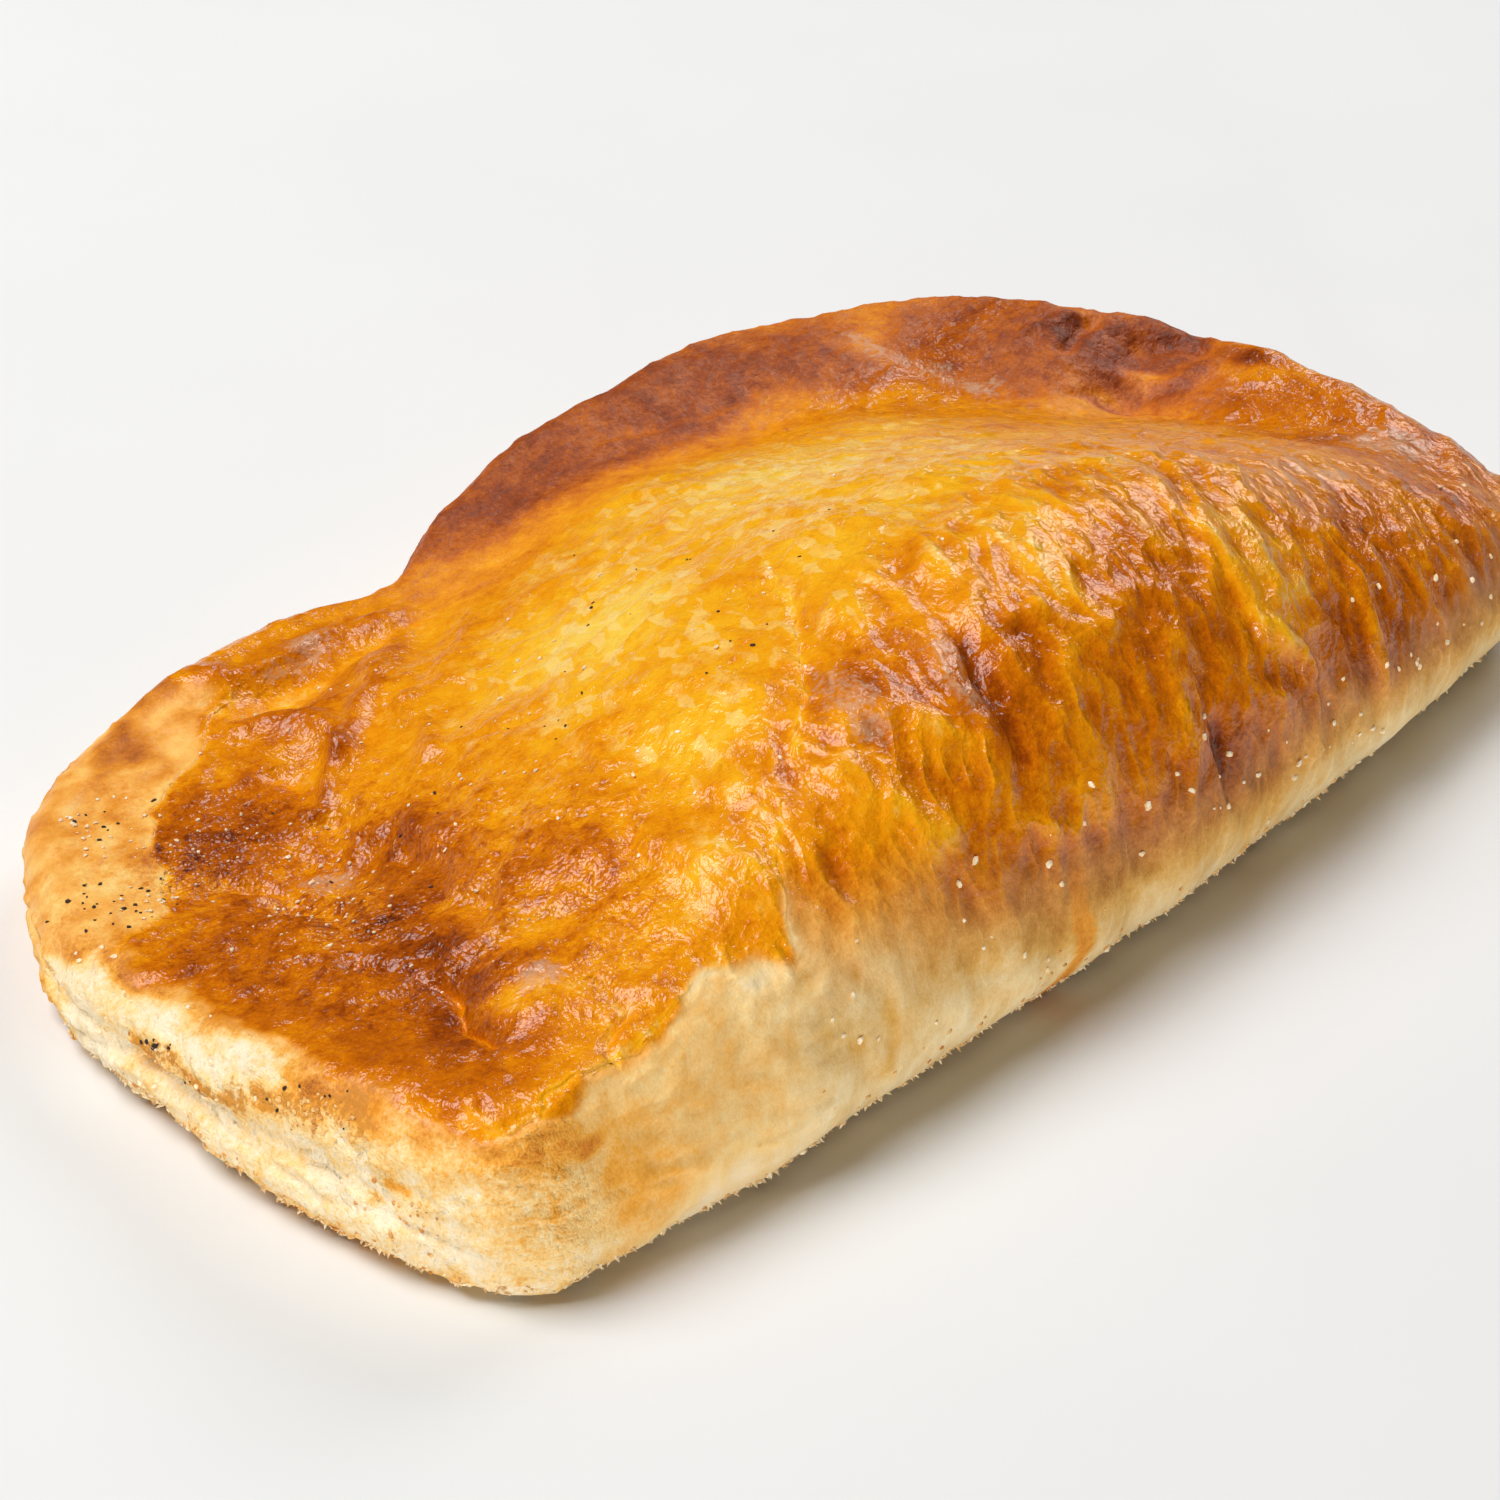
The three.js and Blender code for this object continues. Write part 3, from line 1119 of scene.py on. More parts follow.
@dataclass(frozen=True)
class Wrinkles:
    """The skin's relief in millimetres: crumpled film, upright folds, torn layers and single folds.

    A pair is a stretch over which a kind of relief comes in, along the axis that its name ends in.
    """

    # Soft swelling all over, calmer on the pressed rim.
    swell: float = 0.3
    swell_size: float = 11.0
    swell_layers: int = 2
    rim_calm: float = 0.6
    rim_x: Pair = (-30.0, -15.0)
    rim_y: Pair = (24.0, 36.0)

    # Upright folds on the fold's side, which lean and bend a little.
    hanging_z: Pair = (2.0, 9.0)
    lean: float = 0.5
    bend: float = 1.6
    bend_size: float = 6.0
    bend_shift: float = 90.0
    broad_folds: float = 0.35
    broad_folds_size: Triple = (4.5, 16.0, 16.0)
    dry_folds: float = 0.2
    washed_folds: float = 0.35
    sharp_folds: Crumple = Crumple((6.0, 12.0, 12.0), 3, 1.6)
    sharp_folds_shift: float = 20.0

    # Crumpled film on the top, and torn layers and pits in the dry crumb.
    film: float = 0.36
    near_film: float = 0.2
    rim_flat: float = 0.2
    film_crumple: Crumple = Crumple(8.0, 3, 2.2)
    layers: float = 0.5
    layer_crumple: Crumple = Crumple((7.0, 7.0, 2.2), 2, 1.4)
    pits: float = 0.15
    pit_size: float = 1.8
    lip: float = 0.35
    lip_size: float = 1.6
    lip_z: Pair = (3.0, 0.5)

    # How wide the pale line beside a torn film edge is.
    torn_width: float = 0.5

    near_folds: tuple[Stroke, ...] = (
        Stroke(((-71, -10.5), (-70, -14), (-70, -18), (-71.5, -22), (-77, -32.5)), 0.8, -1.0),
        Stroke(((-65.5, -34.5), (-66, -36), (-68, -40), (-70.5, -43)), 0.5, -0.7),
        Stroke(((-67, -18.5), (-63.5, -20), (-59, -18), (-55, -14.5)), 1.2, 0.6),
        Stroke(((-66, -22), (-63, -24), (-60, -24)), 1.5, -0.6),
        Stroke(((-65, 15.5), (-62, 9.5), (-65.5, 0), (-70.5, -6.5), (-72, -10.5)), 1.6, -1.0),
        Stroke(((-54, -1), (-60.5, -11.5), (-61, -16)), 2.0, -1.2),
        Stroke(((-51.5, 8), (-49.5, 4.5), (-53, -3.5)), 2.0, 1.4),
        Stroke(((-42.5, 19.5), (-49.5, 17)), 1.7, 1.5),
        Stroke(((-46.5, 23.5), (-48.5, 19.5), (-50, 15)), 1.7, -1.2),
        Stroke(((-44, 34), (-40, 30.5), (-41, 24.5), (-42, 21)), 1.7, 1.2),
        Stroke(((-42, 21), (-34, 24.5), (-21, 33.5)), 1.6, 1.2),
        Stroke(((-40, 42), (-32, 41), (-23.5, 40), (-18.5, 38)), 2.2, 1.3),
        Stroke(((-37, 36), (-30, 34), (-24, 35)), 4.0, -1.2),
        Stroke(((-47, 43), (-52.5, 36)), 0.9, -0.4),
        Stroke(((-45.5, 43), (-43.5, 39.5)), 0.8, -0.3),
    )
    mound_folds: tuple[Stroke, ...] = (
        Stroke(((-33, 20.5), (-37, 14.5), (-41, 8)), 1.0, 0.9),
        Stroke(((-38.5, 5), (-34.5, 0), (-32, -3.5), (-29.5, -7.5)), 0.8, -0.5),
        Stroke(((-37, -9), (-40.5, -15)), 1.0, 0.6),
        Stroke(((-41.5, -22), (-41, -31)), 1.0, 0.6),
        Stroke(((-48.5, -29), (-48.5, -34), (-47.5, -39)), 1.4, 0.7),
        Stroke(((-51, -18), (-52.5, -24), (-53, -27)), 1.3, 0.35),
        Stroke(((-47.5, -25), (-50.5, -26.5), (-52.5, -28.5)), 0.9, -0.6),
        Stroke(((-14, 30), (-20, 24), (-28, 18)), 1.6, 0.5),
        Stroke(((20, 41), (30, 38), (37.5, 35), (43.5, 28.5)), 0.8, 0.3),
    )
    hollow_folds: tuple[Stroke, ...] = (
        Stroke(((79.5, 18), (76.2, 16.8), (73.3, 15.4)), 1.2, -1.5),
        Stroke(((74, 10), (76.5, 6.5), (79, 2.5)), 2.0, 1.2),
        Stroke(((81, 11), (83, 7.5), (83, 3)), 1.4, -1.1),
        Stroke(((66, 11), (69.6, 8), (72, 3), (71.6, -2)), 1.2, -0.7),
        Stroke(((84, 16), (86, 8), (86.5, 0)), 1.2, 0.5),
        Stroke(((72, 21), (75, 19.5), (79, 20)), 1.0, 0.6),
    )
    flank_folds: tuple[Stroke, ...] = (
        Stroke(((-34, -37.5), (-34.5, -41.5)), 0.8, 0.6),
        Stroke(((-33, -42.5), (-31, -45.5), (-27.5, -46.5)), 1.0, 0.8),
        Stroke(((-13, -11), (-17.5, -19), (-20.5, -29.5), (-21.5, -37.5)), 0.9, -0.6),
        Stroke(((-8, -36.5), (-4, -37.5), (-2, -40), (2.5, -42.5)), 1.0, 0.8),
        Stroke(((-9, -24), (-12, -32), (-13, -36.5), (-16, -42), (-15.5, -45.5)), 1.2, -0.9),
        Stroke(((-6, -26), (-8.5, -33), (-12, -41)), 1.2, 0.6),
        Stroke(((-25, -35), (-24.5, -39.5), (-22.5, -43), (-20.5, -44.5)), 1.1, 0.8),
        Stroke(((44.5, -16), (27.5, -31), (19, -40)), 1.0, -0.6),
        Stroke(((-16, 24), (-17.5, 19), (-18, 15)), 1.0, 0.7, Side.FOLD),
        Stroke(((13, 29.5), (11, 25), (10, 19.5), (10, 14)), 1.6, -0.9, Side.FOLD),
        Stroke(((6, 26.5), (4.5, 20.5), (4, 15)), 1.1, 0.9, Side.FOLD),
        Stroke(((23.5, 26), (25.5, 21), (26, 16.5), (25.5, 12)), 1.1, 0.9, Side.FOLD),
        Stroke(((42.5, 24), (40.5, 19), (39.5, 14)), 1.1, 0.9, Side.FOLD),
    )
    end_tears: tuple[Stroke, ...] = (
        Stroke(((24, 5), (12.5, 5.5), (5, 6), (-6, 6)), 0.8, -1.0, Side.NEAR_END),
        Stroke(((-6, 6), (-20, 5.8), (-32, 5.6), (-42, 5.5)), 0.7, -0.6, Side.NEAR_END),
        Stroke(((-16, 7.6), (-20, 8), (-24, 8.2)), 0.5, -0.8, Side.NEAR_END),
        Stroke(((-9.5, 7.8), (-12, 7.6)), 0.5, -0.7, Side.NEAR_END),
        Stroke(((-25.5, 11), (-26, 12.5)), 0.6, -0.9, Side.NEAR_END),
        Stroke(((-28, 11.6), (-29, 12.8)), 0.6, -0.9, Side.NEAR_END),
    )

    films: tuple[FilmEdge, ...] = (
        FilmEdge(((-77, -33), (-73, -25), (-70.5, -19), (-71, -14), (-72, -11)), 0.8, 4.0),
        FilmEdge(((-36, -36), (-32, -31), (-28.5, -29), (-22, -24), (-14.5, -15), (-11, -8)), 0.25, 5.0),
        FilmEdge(((-49, -44), (-47.5, -42), (-44.5, -38), (-40, -35)), 0.12, 3.0),
        FilmEdge(
            ((-84, -36), (-83, -39.5), (-80.5, -42), (-78.5, -41), (-74, -42.5), (-70.5, -43)), 0.25, 2.0
        ),
        FilmEdge(((-70.5, -43), (-59.5, -42.5), (-55.5, -43.5), (-49, -44)), 0.05, 3.0),
        FilmEdge(
            ((-82, 13), (-72, 14.5), (-70.5, 18), (-63.5, 26.5), (-60, 30.5), (-50, 34.5), (-40, 39.5)),
            0.15,
            3.0,
        ),
    )

    def torn(self, skin: SkinPoints) -> np.ndarray:
        """Draws a soft line along each torn film edge, 1 in its middle."""
        away = (skin.line(film.points, film.side)[0] for film in self.films)
        return sum(np.exp(-(nearest / self.torn_width) ** 2) for nearest in away)

    def crumpled(self, skin: SkinPoints, wash: np.ndarray, hanging: np.ndarray) -> np.ndarray:
        """Crumples the skin: upright folds where it hangs, loose ones on the film, layers on the near end.

        Args:
            skin: The skin's points.
            wash: Where the egg wash is.
            hanging: Where the skin hangs in upright folds.

        Returns:
            Heights in millimetres.
        """
        noise, dry = skin.noise, 1 - wash
        x, y, z = skin.place.T
        bend = self.bend * noise.at(skin.place + self.bend_shift, self.bend_size)
        across = skin.wavered[:, 0] - self.lean * y + self.lean * z + bend
        run = np.column_stack((across, y, z))
        rim = ramp(y, *self.rim_y) * ramp(x, *self.rim_x)
        hung = hanging * ramp(z, *self.hanging_z)
        near = skin.oval(NEAR_PATCH, NEAR_PATCH_SOFT)
        rise = self.swell * (1 - self.rim_calm * rim)
        rise = rise * noise.layered(skin.place, self.swell_size, self.swell_layers)
        rise += hung * self.broad_folds * noise.at(run, self.broad_folds_size)
        sharp = noise.crumple(run + self.sharp_folds_shift, self.sharp_folds)
        rise += hung * (self.dry_folds + self.washed_folds * wash) * sharp
        loose = (1 - hanging) * (1 - self.rim_flat * rim) * noise.crumple(skin.wavered, self.film_crumple)
        rise += wash * (self.film + self.near_film * near) * loose
        torn = noise.crumple(skin.wavered, self.layer_crumple)
        rise += skin.gate(Side.NEAR_END) * dry * self.layers * torn
        rise += dry * (1 - hanging) * self.pits * noise.at(skin.place, self.pit_size)
        return rise + ramp(z, *self.lip_z) * self.lip * noise.at(skin.place, self.lip_size)

    def relief(self, skin: SkinPoints, wash: np.ndarray, hanging: np.ndarray) -> np.ndarray:
        """Works out how far each point stands up.

        Args:
            skin: The skin's points.
            wash: Where the egg wash is.
            hanging: Where the skin hangs in upright folds.

        Returns:
            Heights in millimetres.
        """
        rise = self.crumpled(skin, wash, hanging)
        for folds in (self.near_folds, self.mound_folds, self.hollow_folds, self.flank_folds, self.end_tears):
            rise += sum(skin.stroke(stroke) for stroke in folds)
        return rise + sum(skin.film(film) for film in self.films)


@dataclass(frozen=True)
class Dusting:
    """What lies on the skin or dulls it: spice from the filling, a painted pale sheen with some flour, grit
    and burnt places.

    A pair is a stretch over which a mark comes in, along the axis that its name ends in, or an edge's
    distances from the mark's line.
    """

    spice_band: tuple[Pair, ...] = (
        (5, 7), (-2, 9), (-9.5, 10.2), (-13, 11.7), (-19.5, 13), (-25, 14.5), (-28.5, 14),
    )
    spice_edge: Pair = (2.6, 0.2)
    spice_z: Pair = (4.0, 7.0)

    # Patches of painted sheen, and a groove by the far rim with flour and painted sheen.
    painted_sheen_patches: tuple[Oval, ...] = (
        Oval((-27, -33), (11, 5), 1.17),
        Oval((-17, -38), (8, 5), 1.2),
        Oval((77, -27), (9, 11)),
        Oval((53, -31), (10, 5), -0.4),
        Oval((-30, 40), (10, 4)),
        Oval((-57, 8), (6, 6)),
        Oval((-68, -31), (4, 7), -0.3),
    )
    floury_sheen_groove: tuple[Pair, ...] = ((58, 37), (60, 27), (61, 18))
    groove_edge: Pair = (3.5, 0.0)
    sheen_soft: float = 0.8
    sheen_share: float = 0.7

    gritty: tuple[Oval, ...] = (
        Oval((-61, 4), (8, 10)),
        Oval((-66, 20), (8, 9), 0.6),
        Oval((-66, -4), (6, 12), 0.3),
    )
    grit_soft: float = 0.7
    bubbly: float = 0.35
    crumbly_x: Pair = (-72.0, -80.0)

    hollow: Oval = Oval((74, 12), (19, 22), 0.3)
    hollow_soft: float = 0.5
    burnt_rim_x: Pair = (-25.0, -8.0)
    burnt_rim_y: Pair = (25.0, 34.0)
    dullness: float = 0.5

    def spice(self, skin: SkinPoints) -> np.ndarray:
        """Says where ground spice from the filling stains the near end.

        Args:
            skin: The skin's points.

        Returns:
            Numbers from 0 to 1.
        """
        band = skin.line(self.spice_band, Side.NEAR_END)[0]
        return ramp(band, *self.spice_edge) * skin.gate(Side.NEAR_END) * ramp(skin.place[:, 2], *self.spice_z)

    def bloom(self, skin: SkinPoints) -> np.ndarray:
        """Says where a pale sheen is painted on the film, with flour as well in the groove by the far rim.

        Args:
            skin: The skin's points.

        Returns:
            Numbers from 0 to 1.
        """
        groove = skin.line(self.floury_sheen_groove, Side.TOP)[0]
        in_groove = ramp(groove, *self.groove_edge) * skin.gate(Side.TOP)
        patches = (skin.oval(oval, self.sheen_soft) for oval in self.painted_sheen_patches)
        return self.sheen_share * np.max([in_groove, *patches], axis=0)

    def grit(self, skin: SkinPoints, wash: np.ndarray) -> np.ndarray:
        """Says where the skin is gritty: with fine crystals on the film, with crumbs on the near end.

        Args:
            skin: The skin's points.
            wash: Where the egg wash is.

        Returns:
            Numbers from 0 to 1.
        """
        crumbly = skin.gate(Side.NEAR_END) * (1 - wash) * ramp(skin.place[:, 0], *self.crumbly_x)
        bubbly = self.bubbly * skin.oval(NEAR_PATCH, NEAR_PATCH_SOFT)
        crystals = (skin.oval(oval, self.grit_soft) for oval in self.gritty)
        return np.max([crumbly, bubbly, *crystals], axis=0)

    def gloss(self, skin: SkinPoints, wash: np.ndarray) -> np.ndarray:
        """Says how glossy the film is: duller where it has burnt, along the far rim and in the hollow.

        Args:
            skin: The skin's points.
            wash: Where the egg wash is.

        Returns:
            Numbers from 0 to 1.
        """
        x, y, _ = skin.place.T
        rim = ramp(y, *self.burnt_rim_y) * ramp(x, *self.burnt_rim_x)
        burnt = np.maximum(rim, skin.oval(self.hollow, self.hollow_soft))
        return wash * (1 - self.dullness * burnt)


@dataclass(frozen=True)
class SkinMasks:
    """What the browning depends on, at each point of the skin."""

    wash: np.ndarray
    inside: np.ndarray
    past_end: np.ndarray
    hanging: np.ndarray
    drip: np.ndarray
    spice: np.ndarray
    torn: np.ndarray
    rise: np.ndarray


@dataclass(frozen=True)
class Oven:
    """How dark each place is, from 0 for palest to 1 for darkest: mostly the oven's browning, with painted
    shade on the hanging folds and a painted sheen on the tongue.

    A pair is a stretch over which a shade comes in, along the axis that its name ends in, or a distance
    down from the film's near edge.
    """

    # The washed skin, the dry skin on top, and the dry sides, which are darker higher up and farther on.
    washed_base: float = 0.45
    dry_base: float = 0.46
    lobe_pale: float = 0.1
    lobe_x: Pair = (-20.0, -40.0)
    side_base: float = 0.18
    side_rise: float = 0.2
    side_z: Pair = (4.0, 15.0)
    far_side_rise: float = 0.53
    far_side_x: Pair = (-48.0, -5.0)
    far_side_z: Pair = (3.0, 20.0)

    # The near end, which pales down from its brow.
    end_edge: Pair = (0.5, -1.5)
    brow_height: float = 13.5
    brow_slope: float = 0.09
    brow_shade: float = 0.64
    brow_fall: float = 0.54
    brow_fade: Pair = (0.0, 4.2)
    brow_waver: float = 2.2
    brow_waver_size: float = 4.0
    brow_waver_layers: int = 3
    brow_reach: float = 0.4
    brow_reach_y: Pair = (-8.0, -34.0)
    lip_browning: float = 0.3
    lip_z: Pair = (3.2, 1.0)
    back_browning: float = 0.08
    back_y: Pair = (-20.0, 25.0)

    # What shifts the shades.
    spice_browning: float = 0.3
    drip_shade: float = 0.68
    mottling: float = 0.2
    mottle_size: float = 4.0
    mottle_edge: Pair = (-1.0, 3.0)
    torn_pale: float = 0.13
    # Raised places are browner on top; where the skin hangs this turns round into painted shade, darker in the
    # hollows between folds and paler on their ridges.
    ridge_browning: float = 0.1
    hanging_shade: float = 0.28
    mean_rise: float = 0.3

    browning: tuple[Browning, ...] = (
        Browning(Oval((0, 0), (60, 40), 0.15), 0.26, 1.0, 0.6),
        Browning(Oval((-22, 5), (18, 15), 0.6), 0.05, 0.8, 0.9),
        Browning(Oval((14, 10), (30, 14), 0.2), 0.12, 0.8, 0.9),
        Browning(Oval((20, 35), (64, 10), -0.05), 0.5, 0.9, 0.8),
        Browning(Oval((24, 43), (50, 10), -0.05), 0.78, 0.95, 0.5),
        Browning(Oval((50, 34), (14, 7), -0.7), 0.8, 0.9, 0.7),
        Browning(Oval((-31, 36), (22, 9), 0.2), 0.5, 0.9, 0.7),
        Browning(Oval((-36, 30), (8, 4), 0.2), 0.62, 0.8, 0.8),
        Browning(Oval((-40, 3), (11, 11), 0.4), 0.42, 0.8, 0.9),
        Browning(Oval((-58, 22), (15, 12), 0.6), 0.62, 1.0, 0.5),
        Browning(Oval((-63, 2), (16, 20), 0.25), 0.64, 1.0, 0.5),
        Browning(Oval((-73, -18), (12, 24), -0.1), 0.66, 1.0, 0.5),
        Browning(Oval((-78, -34), (8, 9)), 0.62, 1.0, 0.6),
        Browning(Oval((-80, -10), (7, 30), -0.12), 0.62, 0.9, 0.5),
        Browning(Oval((-60, -8), (6, 6), 0.3), 0.85, 0.8, 0.9),
        Browning(Oval((-67, -14), (5, 6), 0.3), 0.82, 0.8, 0.9),
        Browning(Oval((-58, 20), (9, 5), 0.6), 0.8, 0.8, 0.9),
        Browning(Oval((-71, -10), (3, 9), 0.2), 0.85, 0.8, 0.9),
        Browning(Oval((-76, -27), (5, 9), -0.3), 0.8, 0.8, 0.8),
        Browning(Oval((-62, 6), (6, 6)), 0.5, 0.7, 0.9),
        Browning(Oval((-56, -22), (11, 11), 0.4), 0.56, 0.9, 0.7),
        # The tongue by the near corner, painted paler: partly a paler crust, partly a painted sheen.
        Browning(Oval((-70, -33), (4, 8), 0.3), 0.34, 0.9, 0.7),
        Browning(Oval((-37, -22), (9, 10), 0.4), 0.1, 0.8, 0.8),
        Browning(Oval((-52, -37), (14, 8), 0.1), 0.34, 0.9, 0.7),
        Browning(Oval((-24, -38), (17, 11), -0.2), 0.56, 0.95, 0.6),
        Browning(Oval((-10, -38), (8, 8), -0.2), 0.72, 0.9, 0.8),
        Browning(Oval((-17, -41), (5, 9), 0.2), 0.8, 0.8, 0.8),
        Browning(Oval((-25, -34), (5, 7), 0.5), 0.66, 0.7, 0.8),
        Browning(Oval((4, -44), (20, 9), -0.1), 0.6, 0.9, 0.7),
        Browning(Oval((12, -34), (9, 12), -0.2), 0.54, 0.8, 0.8),
        Browning(Oval((27, -40), (13, 13), -0.3), 0.34, 0.9, 0.8),
        Browning(Oval((58, -42), (28, 12), 0.1), 0.6, 0.9, 0.7),
        Browning(Oval((56, -4), (14, 20), -0.2), 0.4, 0.8, 0.8),
        Browning(Oval((74, -18), (14, 26), 0.1), 0.6, 0.9, 0.6),
        Browning(Oval((70, 24), (16, 18), 0.5), 0.8, 0.9, 0.6),
        # The far hollow: darkest along its creases and at its edges, paler on the bump in its middle.
        Browning(Oval((79, 9), (11, 13), 0.2), 0.84, 0.95, 0.6),
        Browning(Oval((70, 5), (9, 2), -1.14), 0.84, 0.8, 0.8),
        Browning(Oval((76, 17), (5, 3.5), 0.3), 1.0, 0.9, 0.8),
        Browning(Oval((83.5, 7), (3, 5), 0.2), 1.0, 0.9, 0.8),
        Browning(Oval((83.5, -3), (3, 6), 0.1), 0.95, 0.8, 0.8),
        Browning(Oval((76.5, 6.5), (7, 3.2), -0.98), 0.42, 0.95, 0.8),
        Browning(Oval((78, -27), (10, 12)), 0.62, 0.8, 0.8),
        # Bands along the fold's side, darker higher up and farther on.
        Browning(Oval((22, 17), (70, 10), 0.0, Side.FOLD), 0.72, 0.7, 0.8),
        Browning(Oval((-8, 26), (30, 9), 0.0, Side.FOLD), 0.6, 0.8, 0.8),
    )

    dry_browning: tuple[Browning, ...] = (
        Browning(Oval((-52.5, 41.5), (6, 4.5), 0.5), 0.64, 1.0, 0.6),
        Browning(Oval((-44, 45), (7, 3), 0.2), 0.66, 0.9, 0.7),
        Browning(Oval((-60, 39), (7, 2.5), 0.8), 0.5, 0.8, 0.8),
        Browning(Oval((-70, 30), (4, 6), 0.4), 0.28, 0.8, 0.9),
        Browning(Oval((-76, 16), (4, 6), 0.2), 0.3, 0.8, 0.9),
        Browning(Oval((-66, 22), (9, 5), 0.7), 0.5, 0.6, 0.9),
        Browning(Oval((-74, 4), (8, 5), 1.2), 0.62, 0.8, 0.9),
        Browning(Oval((-47, 9), (7, 12), 0.0, Side.NEAR_END), 0.36, 0.9, 0.8),
        Browning(Oval((-72, 9), (9, 8), 0.0, Side.FOLD), 0.54, 0.9, 0.9),
        Browning(Oval((-82, 16), (6, 3.5), 0.0, Side.FOLD), 0.64, 0.9, 0.8),
        Browning(Oval((-77.5, 14.2), (2.2, 1.6), 0.0, Side.FOLD), 0.8, 0.9, 0.6),
        Browning(Oval((-29, 7), (1.6, 1.4), 0.0, Side.NEAR_END), 0.6, 0.9, 0.8),
        Browning(Oval((-31.5, 9.7), (1.4, 1.2), 0.0, Side.NEAR_END), 0.6, 0.9, 0.8),
    )

    def patched(self, skin: SkinPoints, bake: np.ndarray, patches: tuple[Browning, ...]) -> np.ndarray:
        """Lays patches of browning over each other.

        Args:
            skin: The skin's points.
            bake: The browning so far.
            patches: The patches, lowest first.

        Returns:
            The new browning.
        """
        for patch in patches:
            bake = ease(bake, patch.shade, patch.strength * skin.oval(patch.oval, patch.soft))
        return bake

    def near_end(self, skin: SkinPoints, past_end: np.ndarray) -> np.ndarray:
        """Gives the near end's browning.

        Args:
            skin: The skin's points.
            past_end: How far in from the film's near edge they are.

        Returns:
            Numbers from 0 to 1.
        """
        _, y, z = skin.place.T
        fallen = np.maximum(self.brow_height - self.brow_slope * y - z, 0.0)
        uneven = skin.noise.layered(skin.place, self.brow_waver_size, self.brow_waver_layers)
        down = np.maximum(-past_end, 0.0) + fallen + self.brow_waver * uneven
        reach = self.brow_reach * ramp(y, *self.brow_reach_y)
        face = self.brow_shade - self.brow_fall * ramp(down * (1 - reach), *self.brow_fade)
        return face + self.lip_browning * ramp(z, *self.lip_z) + self.back_browning * ramp(y, *self.back_y)

    def dry(self, skin: SkinPoints, masks: SkinMasks) -> np.ndarray:
        """Gives the dry skin's browning.

        Args:
            skin: The skin's points.
            masks: What it depends on.

        Returns:
            Numbers from about 0 to 1.
        """
        x, _, z = skin.place.T
        fold, top = skin.gate(Side.FOLD), skin.gate(Side.TOP)
        dry = self.dry_base - self.lobe_pale * top * ramp(x, *self.lobe_x)
        sides = self.side_base + self.side_rise * ramp(z, *self.side_z)
        sides = sides + self.far_side_rise * ramp(x, *self.far_side_x) * ramp(z, *self.far_side_z)
        dry = dry + (sides - dry) * fold
        on_end = ramp(masks.past_end, *self.end_edge) * (1 - fold)
        dry = dry + (self.near_end(skin, masks.past_end) - dry) * on_end
        dry = self.patched(skin, dry + self.spice_browning * masks.spice, self.dry_browning)
        dry = ease(dry, self.drip_shade, masks.drip)
        mottles = skin.noise.layered(skin.wavered, self.mottle_size) * top * (1 - fold)
        return dry + self.mottling * mottles * ramp(masks.past_end, *self.mottle_edge)

    def bake(self, skin: SkinPoints, masks: SkinMasks) -> np.ndarray:
        """Says how dark the skin is: its browning, with painted shade on the hanging folds.

        Args:
            skin: The skin's points.
            masks: What it depends on.

        Returns:
            Numbers from 0, palest, to 1, darkest.
        """
        washed = self.patched(skin, np.full(len(skin.place), self.washed_base), self.browning)
        dry = self.dry(skin, masks)
        bake = dry + (washed - dry) * masks.wash * masks.inside - self.torn_pale * masks.torn
        # Raised places brown more; on the hanging folds a painted shade darkens the hollows and pales the
        # ridges.
        ridges = self.ridge_browning - self.hanging_shade * masks.hanging
        return np.clip(bake + ridges * (masks.rise - self.mean_rise), 0.0, 1.0)


